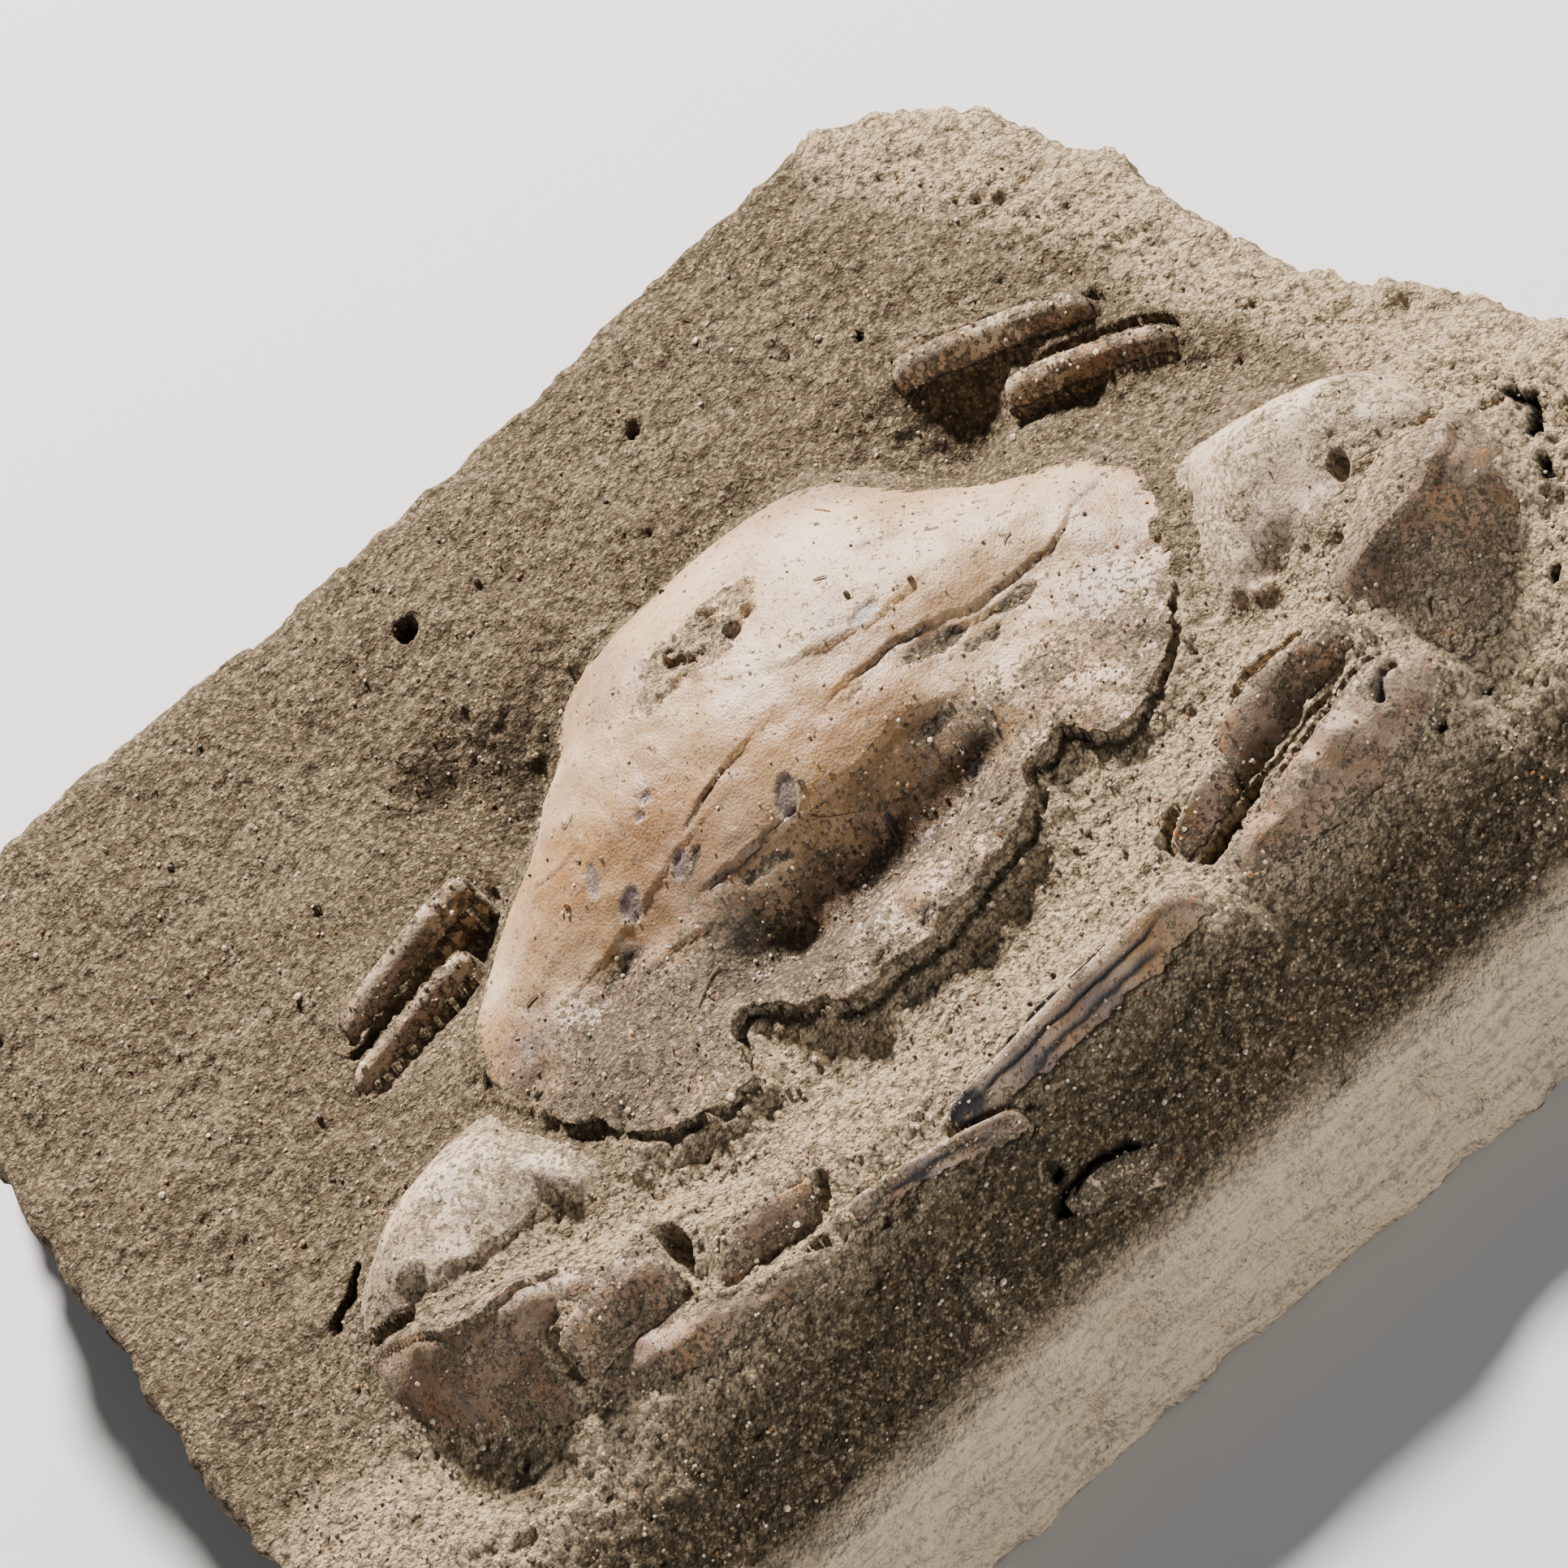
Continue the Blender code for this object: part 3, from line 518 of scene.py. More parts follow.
# The back shell.
carapaceLook = {
    "voxel": 0.36,
    "smoothing": 3,
    "slot": "shell",
    "material": carapaceShell,
    "steps": [      # line, height, reach behind it, reach in front of it
        ([(3, -4.6), (9, -3.4), (14.1, -2.8), (18.2, -3.2), (22, -3.9), (26.1, -3.5), (30.2, -3.1), (34, -1.4),
          (38, 1.8)], 0.18, 5, 6),
        ([(16, -4.4), (20, -5), (25, -5.2), (30, -5)], 0.16, 1.5, 3),
        ([(-16, -8.4), (-9, -9.6), (-2.7, -10.6), (2.3, -10.7), (7.4, -10.1), (12, -9.8), (18, -10.8)], 0.25, 6, 5),
        ([(-36, -5.8), (-30, -5.4), (-26.4, -5.6), (-22.4, -5.6), (-18.2, -4.9), (-12.4, -4.2), (-5, -4.6)],
         0.13, 5, 7),
        ([(-26, -10.4), (-20, -10.6), (-14, -12)], 0.15, 4, 4),
        ([(-13, -3.4), (-9, -3), (-5.1, -2.3), (0, -2.0)], 0.16, 2, 2.5),
        ([(2, 3.2), (9, 0.6), (14, 0.2), (21, 1.4)], 0.14, 4, 4),
        ([(20, 12), (26, 8.4), (32, 6.6)], 0.16, 3, 3),
    ],
    "cracks": [[(22, -3.9), (26.1, -3.5), (30.2, -3.1), (32.5, -2.3), (34.7, -0.5), (37, 0.9), (39.2, 2.7)],
               [(-14.5, -9), (-10.3, -9.6), (-5.5, -9.9), (-1, -10.3)], [(9, -3.4), (14, -2.9), (18, -3.3)],
               [(-12, -3.2), (-9, -3), (-5.1, -2.4)], [(-27, 6), (-24, 4.4), (-20.4, 4)],
               [(16, 9.4), (20, 8), (22.6, 8.4)]],
    "crackWidth": 0.38,
    "crackDepth": 0.22,
    "fills": [      # sand packed in the creases: x, y, (length, width, turn), strength
        (17, -5, (6, 1.6, -4), 1), (25.5, -5.2, (5, 1.5, 6), 0.9), (21, -7, (4.5, 1.4, 0), 0.7),
        (8, -5, (4, 1.2, 15), 0.5), (-24, -7.6, (5, 1.6, 0), 0.8), (-13, -6.2, (4, 1.2, 15), 0.7),
        (-8, -11.6, (6, 1.3, -6), 0.7), (12, -11.6, (5, 1.4, 0), 0.8)],
    "trough": [(-20, -14.6), (-14, -17.0), (-9, -17.9), (-3, -17.7), (3, -17.3), (9, -17.3), (14, -16.8), (19, -14.6)],
    "troughWidth": 6.2,
    "troughDepth": 1.7,
    "lumps": [      # x, y, radius, height
        (0, -6.5, 9, 0.5), (-9, -7, 7, 0.4), (9, -6, 7, 0.5), (8, -18.6, 4, -0.5), (-10, -18.8, 4.4, -0.7),
        (12, -7.5, 4, 0.5), (-24, -8.5, (8, 3, 5), -0.4), (-27, -10, 6, -0.3), (22, -9, 6, -0.5), (-3, 1, 5, 0.4),
        (7, 3, 5, 0.3), (-15, 2, 6, 0.5), (30, -9, 5, 0.5),
        (-5, -25, 5, 0.9), (2.5, -26.5, 5, 0.9), (9, -24.5, 4.5, 0.8), (15.5, -20.5, 4.5, 0.9), (24.5, -21, 5, 0.9),
        (33, -14, 7, 0.8), (34, -5, 5.5, 0.5), (-30, -17, 6, 0.7), (-22, -22, 6, 0.7), (-33, -9, 5, 0.6),
        (-24, 5, 10, 0.6), (25, 4, 9, 0.5), (20, 1.5, 7, 0.4), (-10, 17, 5, 0.4), (10, 19, 6, 0.4),
    ],
    "teeth": [(-38.6, -7.5, 3.0), (-36.4, -13.2, 3.2), (-33.2, -18.8, 3.2), (-29.4, -23.2, 3.2), (-24.6, -26.4, 3.4),
              (38.8, -7.8, 3.0), (37.6, -13.6, 3.2), (34.6, -18.8, 3.2), (30.4, -23.2, 3.2), (25.4, -26, 3.4),
              (-8.2, -28.2, 2.6), (-2.4, -28.6, 2.6), (2.8, -28.8, 2.6), (8, -27, 2.6), (13.2, -25, 2.8)],
    "toothHeight": 0.4,
    "notches": [[(-40.6, -10.2), (-36, -9.4)], [(-37.6, -16), (-33.4, -14.6)], [(-33.6, -21.6), (-30.4, -18.6)],
                [(-28.6, -26), (-26.6, -22)], [(40.8, -10.6), (36.4, -9.6)], [(38.4, -16.6), (34.4, -14.8)],
                [(34.6, -21.6), (31.6, -18.4)], [(29.6, -25.4), (27.4, -21.6)], [(-5.6, -30), (-5, -26.4)],
                [(0.2, -30.6), (0.2, -27)], [(5.6, -29.8), (5.2, -26.2)], [(11, -27.4), (10, -24)]],
    "notchWidth": 1.1,
    "notchDepth": 0.3,
    "spalls": [     # x, y, (length, width, turn), depth, colour
        (-2.4, -8.7, (2.9, 1.7, 50), 0.2, "lilac"), (13.7, 1.6, (2.8, 1.3, 10), 0.2, "lilac"),
        (-12.8, 1.9, (1.1, 0.9, 0), 0.25, "lilac"), (-14.2, 0.7, (0.9, 0.8, 0), 0.25, "lilac"),
        (-20.2, -4.2, (2.4, 1.5, 35), 0.14, "lilac"), (-14.2, -5.4, (2.0, 1.3, 30), 0.15, "lilac"),
        (-21.5, 0.3, (2.6, 0.9, 60), 0.12, "lilac"), (-4.2, -23.6, (1.5, 1.1, 20), 0.3, "lilac"),
        (12.3, -24.1, (2.7, 1.3, 20), 0.3, "lilac"), (5.7, -27.6, (2.2, 1.3, 10), 0.3, "lilac"),
        (1.2, -28.2, (1.8, 1.1, 0), 0.3, "lilac"), (-4.9, -28.2, (1.9, 1.1, 0), 0.3, "lilac"),
        (12.5, -16.1, (1.6, 1.2, 0), 0.2, "lilac"), (3.2, -15.2, (1.5, 0.8, 60), 0.3, "dark"),
    ],
    "matrix": (-0.6, 12.6, (11.5, 6.2, 4)),       # rough patch left uncleaned near the rear
    "lipSetBack": 1.1,       # how far the margin is cut back below its lip, in millimetres
    "wallDust": 0.9,
    # painted blots: x, y, radius, strength
    "duller": [(-30, -15, 14, 1), (-8, -25, 9, 0.9), (12, -23, 9, 0.9), (32, -12, 9, 0.7)],
    "dustier": [(23.8, -14.1, 5, 1), (16.5, -12.9, 4.5, 1), (-15, -12, 7, 0.8), (-24, -13, 6, 0.8), (-30, -12, 6, 0.6),
                (18, -23, 4, 0.9), (6, -22, 5, 0.5), (-19, -19, 5, 0.8)],
    "leftLobe": [(-30, -15, 17, 1), (-20, -19, 13, 1), (-35, -6, 9, 0.7), (-12, -22, 9, 0.8)],
    "shade": [(-30, -14, 13, 1), (-14, -16, 9, 0.8), (-24, -7, 8, 0.8), (19, -6, 9, 0.8), (10, -13, 8, 0.7)],
    "orange": [(-23, 4, 12, 1.3), (-12, -0.5, 10, 1.3), (1, -4, 9, 1.3), (9, -5.5, 7, 1.1), (-19, 10, 7, 0.8),
               (-4, 4, 8, 0.5), (18, -0.5, 7, 0.6), (8, 12, 12, 0.4), (22, 8, 11, 0.3), (-28, 0, 7, 0.6),
               (13, 5, 6, 0.45), (8, -20, 5, 0.5), (-8, -24, 5, 0.4), (-22, -18, 6, 0.5), (27, -9, 6, 0.35),
               (-17, -12, 6, 0.6)],
    # stain_and_shade: brown stains, and brown painted shade over the trough and the left lobe, which face away from the
    # light
    "stain_and_shade": [(11, -12.5, 7, 0.9), (4, -14, 6.5, 0.8), (-4, -15.2, 6, 0.85), (-12, -14, 6, 0.8), (15, -15, 5, 0.75),
              (-20, -8, 8, 0.75), (-28, -8, 7, 0.5), (16, -4.6, 5, 0.6), (24, -5, 5, 0.4), (-30, -16, 13, 0.6),
              (-22, -21, 9, 0.5), (-5, -24, 8, 0.4), (10, -22, 8, 0.4), (34, -14, 9, 0.35), (30, -6, 11, 0.28),
              (29, 3, 9, 0.16), (20, -16, 8, 0.35), (-10, -4.5, 4, 0.5), (-14, -6.5, 6, 0.75), (-20, -7.5, 7, 0.75),
              (-26, -8, 6, 0.6)],
    "lilac": [(-34, -8, 6, 0.9), (-30, -15, 5, 0.8), (-30, -6, 5, 0.5), (36, 1, 4, 0.7), (39, -4, 4, 0.6),
              (27, -20, 5, 0.4), (17, -20, 4, 0.6), (-3, -27, 4, 0.5), (20, -11, 5, 0.5), (33, -12, 6, 0.35),
              (6, 20, 5, 0.3)],
    # bleached_and_highlight: paler bleached shell, and painted highlight where the shell faces the light, on its rear
    # and on the top of the dome
    "bleached_and_highlight": [(-35, 4, 6, 0.9), (5, 22, 9, 0.7), (14, 16, 9, 0.8), (26, 8, 9, 0.8), (34, 4, 6, 0.5),
                 (-20, 13, 8, 0.8), (2, 2.6, 7.5, 0.95), (36, -12, 5, 0.5), (-24, 13, 6, 0.9), (30, -22, 4, 0.5),
                 (-5, -26, 5, 0.5), (8, -25, 5, 0.4)],
}


def sculptCarapace(look):
    obj = basePiece("carapace", look)
    gap = rimGap(obj)
    points = readPoints(obj)
    normals = readNormals(obj)
    up = normals[:, 2]
    xy = points[:, :2]       # follows the points when they are moved
    top = ease(up, 0.15, 0.5)
    wall = 1 - ease(up, 0.1, 0.45)
    front = ease(-points[:, 1], 6, 20)
    ragged = shaken(points, 0.35, 2.5, 61)
    lift = np.zeros(len(points))
    for line, height, rear, reach in look["steps"]:
        lift += step(ragged, line, height, rear, reach)
    cracks = grooves(ragged, look["cracks"], look["crackWidth"])
    lift -= look["crackDepth"] * cracks
    packed = ease(blots(xy, look["fills"]) + 0.3 * waves(points, 1.6, 63, 3), 0.25, 0.6)
    lift -= packed * (0.1 + 0.3 * np.abs(waves(points, 1.3, 64, 2)))
    lift -= look["troughDepth"] * groove(xy, look["trough"], look["troughWidth"])
    for px, py, radius, height in look["lumps"] + [(*tooth, look["toothHeight"]) for tooth in look["teeth"]]:
        lift += height * spot(xy, (px, py), radius)
    cuts = grooves(xy, look["notches"], look["notchWidth"], taper=False)
    lift -= look["notchDepth"] * cuts * (0.6 + 0.9 * waves(points, 5, 17, 1))
    marks = {}
    for px, py, radius, depth, colour in look["spalls"]:
        inside = spot(xy, (px, py), radius)
        hole = ease(inside, 0.18, 0.34)
        raised = ease(inside, 0.02, 0.18) * (1 - hole)
        lift += 0.08 * raised - depth * hole
        marks[colour] = np.maximum(marks.get(colour, 0), hole)
        marks["bleached_and_highlight"] = np.maximum(marks.get("bleached_and_highlight", 0), 0.8 * raised)
    patch = ease(spot(xy, look["matrix"][:2], look["matrix"][2]) + 0.3 * waves(points, 3.4, 12, 3), 0.12, 0.5)
    lift += patch * (1.5 * np.abs(waves(points, 2.6, 13, 3)) + 0.7 * waves(points, 5, 14, 2) - 0.3)
    lift += 0.3 * waves(points, 8, 1, 3) + 0.13 * waves(points, 2.6, 2, 3)
    sandy = ease(waves(points, 6, 31, 3), 0.15, 0.6)
    lift += 0.12 * front * np.abs(waves(points, 1.3, 33, 2))
    lift -= 0.45 * (1 - ease(gap, 0, 1.2)) * ease(points[:, 1], -4, 10)
    points[:, 2] += lift * top
    # below its lip the margin is cut back a little, and sand hides the cut
    flat = points * np.array((1, 1, 0))
    rim = 1 - ease(gap, 0, 1.8)
    setBack = look["lipSetBack"] * ease(4.9 - points[:, 2], 0, 0.9) * front
    points -= normals * np.array((1, 1, 0.2)) * (wall * setBack)[:, None]
    points[:, 2] += (0.18 * (1 - ease(gap, 0, 0.9)) + 0.3 * rim * waves(flat, 2.2, 23, 2)) * front * top
    points[:, 0] += rim * front * (0.7 * waves(flat, 3.4, 21, 2) + 0.45 * waves(flat, 1.3, 24, 2))
    points[:, 1] += rim * front * (0.8 * waves(flat, 3.0, 22, 2) + 0.45 * waves(flat, 1.2, 25, 2))
    writePoints(obj, points)

    margin = 1 - ease(gap, 0, 2.6)
    leftLobe = ease(blots(xy, look["leftLobe"]) + 0.15 * waves(points, 4, 54, 3), 0.08, 0.6)
    # The trough and the left lobe face away from the light; they are painted browner and darker as painted shade, the
    # left lobe together with the sand that lies on it.
    shadedTrough = ease(groove(xy, look["trough"], 8.5) + 0.15 * waves(points, 3, 55, 3), 0.15, 0.75)
    paintedBrownShade = np.maximum(0.68 * leftLobe, 0.88 * shadedTrough) * (0.85 + 0.7 * waves(points, 3.4, 56, 3))
    marks["dust"] = (0.85 * patch * (0.75 + 0.6 * waves(points, 3, 42, 2)) + 0.75 * packed + 0.26 * sandy * front
                     + look["wallDust"] * wall + 0.4 * margin * ease(waves(points, 3.4, 41, 2), -0.3, 0.5)
                     + 0.2 * cuts + 0.08 + 0.24 * front + 0.17 * leftLobe + 0.06 * shadedTrough
                     + 0.16 * blots(xy, look["duller"]) + 0.3 * blots(xy, look["dustier"]))
    # pale sand is held back on the wall, the trough and the left lobe, as painted shade
    marks["pale"] = 0.3 + 0.35 * patch - 0.3 * packed - 0.2 * wall - 0.15 * leftLobe - 0.3 * shadedTrough
    marks["dark"] = np.maximum(marks.get("dark", 0), 0.6 * cracks)
    # painted shade: the wall under the lip, the trough and the shade blots take the dark sand tone
    marks["shade"] = np.maximum(0.9 * wall + 0.7 * blots(xy, look["shade"]), 0.8 * shadedTrough)
    marks["orange"] = blots(xy, look["orange"]) * (0.75 + 0.5 * waves(points, 5, 51, 3))
    stainedAndShaded = blots(xy, look["stain_and_shade"]) * (0.8 + 0.5 * waves(points, 3, 52, 3))
    marks["stain_and_shade"] = np.maximum(np.maximum(stainedAndShaded, paintedBrownShade), 0)
    lilac = 0.6 * blots(xy, look["lilac"]) * ease(waves(points, 3.5, 53, 3), -0.4, 0.4)
    marks["lilac"] = np.maximum(marks["lilac"], lilac)
    marks["bleached_and_highlight"] = np.maximum(marks["bleached_and_highlight"] * (1 - 0.7 * leftLobe), blots(xy, look["bleached_and_highlight"]))
    paintAll(obj, marks)
    finishPiece(obj, "carapace", look)
    return obj


# Claws, legs and loose bits share one way of shaping. These marks hold where a piece doesn't say otherwise.
plainMarks = dict(
    steps=[], ridges=[], lumps=[], cracks=[], slots=[], sandy=[], smoothing=5, crackDepth=1.0, crackWidth=0.8,
    sand=(4.5, 0.9, 0.7),             # how far the stone slopes up to it, how high, and how far it laps over
    edgeDust=0.45, sandPale=0.45, sandShade=0.0,
    roundness=1.5, taper=0.25)        # of a blade's face and of its ends
wristMarks = dict(plainMarks, voxel=0.38, slot="shell", material=wristShell)
palmMarks = dict(plainMarks, voxel=0.36, slot="claw_shell", material=clawShell, swell=0.3, sandPale=0.3, sandShade=0.3)
lowerMarks = dict(plainMarks, voxel=0.32, slot="claw_shell", material=clawShell, swell=0.4, sandPale=0.4, sandShade=0.2)
fingerMarks = dict(plainMarks, slot="claw_shell", material=clawShell, swell=0.05, roughness=0.12, edgeDust=0.2)
thinMarks = dict(fingerMarks, swell=0, taper=0.6, sand=(4.0, 0.98, 0.15), edgeDust=0.25)
legMarks = dict(plainMarks, slot="leg_shell", material=legShell, swell=0, roundness=2.6, taper=0.55)
flankMarks = dict(plainMarks, voxel=0.26, slot="leg_shell", material=legShell, sand=(3.0, 0.85, 0.35), sandShade=0.4,
                  sandPale=0.1)
# Each piece's stainsAndPaintedLight holds its rust, lilac, orange and dark marks, and painted light:
# bleached_and_highlight on the lit crests and tops, stain_and_shade as brown painted shade on the faces that fall away
# from the light and in the pits.
pieceLooks = {
    "right_wrist": dict(
        wristMarks, swell=0.5, roughness=0.16, dust=0.36, sandPale=0.85,
        steps=[([(-56, -22.5), (-52, -24), (-48, -23), (-44.6, -22.4), (-41, -24.4)], 0.35, 3, 2)],
        ridges=[([(-41.6, -24.6), (-42.4, -21.6), (-42, -19)], 0.5, 1.2)],
        lumps=[(-57, -20.6, (2.6, 1.7, -25), 0.7), (-41.2, -22.2, (1.5, 2.8, 0), 0.7),
               (-47, -24.4, (3.6, 1.3, 20), -0.9), (-59, -24, (4, 2.5, -40), -0.5), (-54, -14, 6, 0.4)],
        sandy=[(-57.6, -25, 4.8, 1), (-46, -25.6, 3.4, 1), (-52, -27, 4, 0.9), (-62, -18, 3, 0.6), (-50, -22, 3, 0.4)],
        stainsAndPaintedLight=dict(lilac=[(-58, -18, 3, 0.5), (-50, -17, 4, 0.3), (-41.6, -20.6, 1.8, 0.8)],
                    dark=[(-40.6, -25.2, 1.1, 0.9)], bleached_and_highlight=[(-52, -12, 10, 0.8)], orange=[(-55, -16, 5, 0.35)],
                    rust=[(-40, -24.2, 1.3, 0.7), (-50.4, -26.2, 1.4, 0.5)], stain_and_shade=[(-47, -24.6, 2.4, 0.5)])),
    "left_wrist": dict(
        wristMarks, swell=0.6, roughness=0.2, dust=0.3, sandPale=1.0,
        ridges=[([(50.4, -21.5), (51.6, -23.6), (53, -27)], 0.3, 1.6),
                ([(42, -22.8), (46, -23.6), (50, -23.2)], 0.6, 1.1)],
        lumps=[(56.4, -20.6, (2.4, 1.4, 70), -1.6), (46.2, -24.3, (3.0, 1.8, 20), -2.4),
               (40.5, -21.6, (2.4, 2, 0), 0.7), (52, -12, 7, 0.4)],
        sandy=[(58, -20, 5, 1), (54, -25, 4, 0.9), (50, -25, 4, 0.9), (44, -12, 3, 0.4), (61, -14, 4, 0.7),
               (47, -17, 4, 0.6)],
        stainsAndPaintedLight=dict(bleached_and_highlight=[(48, -14, 12, 0.8), (50, -23.5, 2.6, 0.8), (45, -23.2, 2.2, 0.8)],
                    lilac=[(44, -9, 2.4, 0.6)], rust=[(55.6, -18.6, 1.8, 0.6), (40.6, -22.8, 1.6, 0.5)],
                    stain_and_shade=[(46.2, -24.3, 1.8, 0.6), (56.4, -20.6, 1.4, 0.6)])),
    "right_palm": dict(
        palmMarks, roughness=0.18, dust=0.34, edgeDust=0.25,
        steps=[([(-66, -20), (-62, -24.4), (-60.2, -26.8), (-57.6, -29.6), (-54.6, -31), (-51.6, -30.6), (-47.1, -30.6),
                 (-42, -31.6)], 0.3, 2.4, 3)],
        ridges=[([(-66, -30), (-62, -36), (-57, -39.6), (-51, -42)], 0.25, 0.8)],
        lumps=[(-51, -40.4, (2.6, 1.8, -30), 0.8), (-55, -34, (5, 3, -20), -0.4), (-60, -31, 4, 0.4)],
        sandy=[(-57, -26.6, 4.2, 1), (-53, -28.6, 3, 0.9), (-51, -40.6, 3.2, 1.2), (-50.8, -37, 2.5, 0.9),
               (-62, -22, 3, 0.7), (-46, -35, 2.6, 0.5)],
        stainsAndPaintedLight=dict(stain_and_shade=[(-60, -31.5, 6.5, 0.6), (-55, -35.5, 6, 0.6), (-50, -33.4, 5, 0.6)],
                    rust=[(-62.6, -29, 2.6, 0.3)], lilac=[(-60.8, -33.4, 1.7, 0.8)], dark=[(-60.9, -32.9, 1.1, 0.35)],
                    bleached_and_highlight=[(-64.8, -24, 2.2, 0.8), (-45, -31, 2.6, 0.8), (-51, -40.6, 2.6, 1),
                              (-62.4, -36.2, 1.6, 0.7), (-57, -39.8, 1.8, 0.7), (-66, -30, 1.6, 0.6)])),
    "left_palm": dict(
        palmMarks, roughness=0.22, dust=0.40, edgeDust=0.2,
        steps=[([(50, -31.4), (53.8, -31.6), (57.5, -31.2), (61.2, -30.6), (65.2, -27.8), (68, -23.6), (67, -19)],
                0.35, 3, 4)],
        ridges=[([(70, -24), (69.6, -29), (67, -34), (62, -39)], 0.35, 0.9)],
        lumps=[(55, -38.6, (1.6, 1.2, 40), 0.9), (62, -34, (5, 3, 30), -0.4)],
        sandy=[(62, -24, 6, 1), (58, -28.6, 4, 0.9), (68, -20, 4, 0.9), (55, -38, 3, 0.9), (58, -35, 3, 0.5)],
        stainsAndPaintedLight=dict(stain_and_shade=[(60, -35.6, 6, 0.65), (66, -32, 5.5, 0.55), (54, -33.6, 4, 0.8)],
                    rust=[(67.6, -29.2, 2.0, 0.5), (62, -30.6, 2.4, 0.3), (55, -39.4, 1.3, 0.6)],
                    orange=[(63, -33.6, 5, 0.5)], bleached_and_highlight=[(55, -38.6, 1.4, 0.9), (66, -19, 3.5, 0.6)])),
    "right_upper_finger": dict(
        fingerMarks, sand=(3.2, 0.96, 0.12), dust=0.32, sandPale=0.2, sandShade=0.5,
        crest=[(-50.4, -37.2, 4.6), (-47, -35.6, 4.9), (-43.6, -34.6, 4.9), (-40, -34.2, 4.6), (-37.2, -34.2, 4.2)],
        foot=[(-50.6, -39.8, 2.6), (-47, -40.0, 1.6), (-43.4, -40.4, 1.0), (-40, -41.0, 0.6), (-37.6, -41.6, 0.3)],
        lumps=[(-44, -38.2, (4, 1.6, 12), -0.45), (-40, -36.8, (3, 1.4, 0), 0.25)],
        sandy=[(-39, -39.8, 2.4, 0.6), (-38, -35.4, 1.4, 0.7)],
        stainsAndPaintedLight=dict(stain_and_shade=[(-43, -38.6, 5, 0.7)], rust=[(-37.6, -34.6, 1.2, 0.7)], orange=[(-48, -37, 3, 0.4)],
                    bleached_and_highlight=[(-44, -34.8, 1.4, 1), (-41, -34.4, 1.4, 1), (-47, -35.6, 1.4, 1)])),
    "right_finger_end": dict(
        fingerMarks, sand=(3.0, 0.96, 0.1), dust=0.26, sandPale=0.3, sandShade=0.3,
        crest=[(-33.4, -40.0, 3.4), (-30.6, -39.9, 3.8), (-27.6, -40.2, 3.8), (-25, -40.7, 3.5), (-22.4, -41.3, 2.9)],
        foot=[(-35.2, -43.4, 0.6), (-32.4, -43.8, 0.6), (-29.6, -44.0, 0.5), (-26.6, -44.4, 0.4), (-24, -44.4, 0.3)],
        lumps=[(-29, -42.4, (3, 1.2, -8), -0.35)], sandy=[(-33.6, -41.8, 2.4, 0.8), (-27, -43.4, 1.6, 0.5)],
        stainsAndPaintedLight=dict(rust=[(-23.6, -41.2, 1.4, 0.9)], orange=[(-26, -40.8, 1.8, 0.9)], stain_and_shade=[(-28, -42.4, 3.5, 0.5)],
                    bleached_and_highlight=[(-29, -40.2, 1.2, 0.9), (-32, -40.1, 1.2, 0.8)])),
    "right_lower_finger": dict(
        lowerMarks, stretch=(1.04, 1.3, 11, -0.6, 0.4), roughness=0.14, dust=0.3,
        lumps=[(-34, -44, (5, 1.3, 15), -0.3)], sandy=[(-30, -45, 4, 0.5)],
        stainsAndPaintedLight=dict(orange=[(-40, -44.6, 6, 0.6)], lilac=[(-31, -43.6, 2.6, 0.8), (-27.4, -43, 1.6, 0.7)],
                    bleached_and_highlight=[(-38, -45, 5, 0.6)], rust=[(-45, -46, 3, 0.3)])),
    "right_thin_finger": dict(
        thinMarks, roundness=1.9, roughness=0.08, dust=0.2, sandPale=0.6, crackDepth=0.25, crackWidth=0.4,
        crest=[(-22, -46.5, 3.0), (-16, -47.4, 3.0), (-9, -48.8, 2.5), (-3, -50.2, 1.6)],
        foot=[(-22, -48.4, 1.0), (-16, -49.6, 0.4), (-9, -51.0, -0.5), (-3.4, -52.4, -1.5)],
        cracks=[[(-21, -47.6), (-14, -48.8), (-6, -50.4)]],
        stainsAndPaintedLight=dict(lilac=[(-14, -49.4, 3, 0.9), (-7, -50.8, 2.6, 0.9)],
                    bleached_and_highlight=[(-12, -48.0, 4, 0.9), (-19, -46.8, 3, 0.9)],
                    orange=[(-6, -49.6, 3, 0.4), (-18, -48.2, 2.4, 0.4)])),
    "left_upper_finger": dict(
        fingerMarks, sand=(3.4, 0.96, 0.12), dust=0.3, sandPale=0.2, sandShade=0.5,
        crest=[(31.4, -33.8, 3.9), (33.8, -32.8, 4.5), (38, -32.1, 5.1), (43, -32.5, 5.5), (48, -33.6, 5.7)],
        foot=[(30.4, -38.7, 0.6), (33.2, -38.2, 0.8), (37.4, -37.3, 1.2), (42.4, -36.7, 2.2), (47.6, -37.0, 4.0)],
        lumps=[(40, -34.8, (5, 1.6, 6), -0.4), (36, -36.4, (4, 1.2, 12), -0.3), (45, -34.6, (2.6, 1.4, 0), 0.3)],
        sandy=[(45, -34.2, 2.6, 0.6), (47, -36, 2, 0.6)],
        stainsAndPaintedLight=dict(rust=[(31.8, -34, 1.5, 1.2)], orange=[(33.6, -33.2, 2, 0.9), (44, -34.8, 3, 0.3)],
                    bleached_and_highlight=[(37, -32.4, 1.4, 1), (41, -32.4, 1.4, 1), (45, -33, 1.4, 0.9)],
                    stain_and_shade=[(39, -36, 5, 0.8), (34, -37, 4, 0.8)])),
    "left_finger_stub": dict(
        fingerMarks, sand=(3.2, 0.96, 0.1), roughness=0.1, dust=0.24, sandPale=0.4,
        crest=[(22.6, -39.2, 3.2), (25.2, -37.9, 3.8), (28, -36.7, 4.2), (30.8, -35.6, 4.1)],
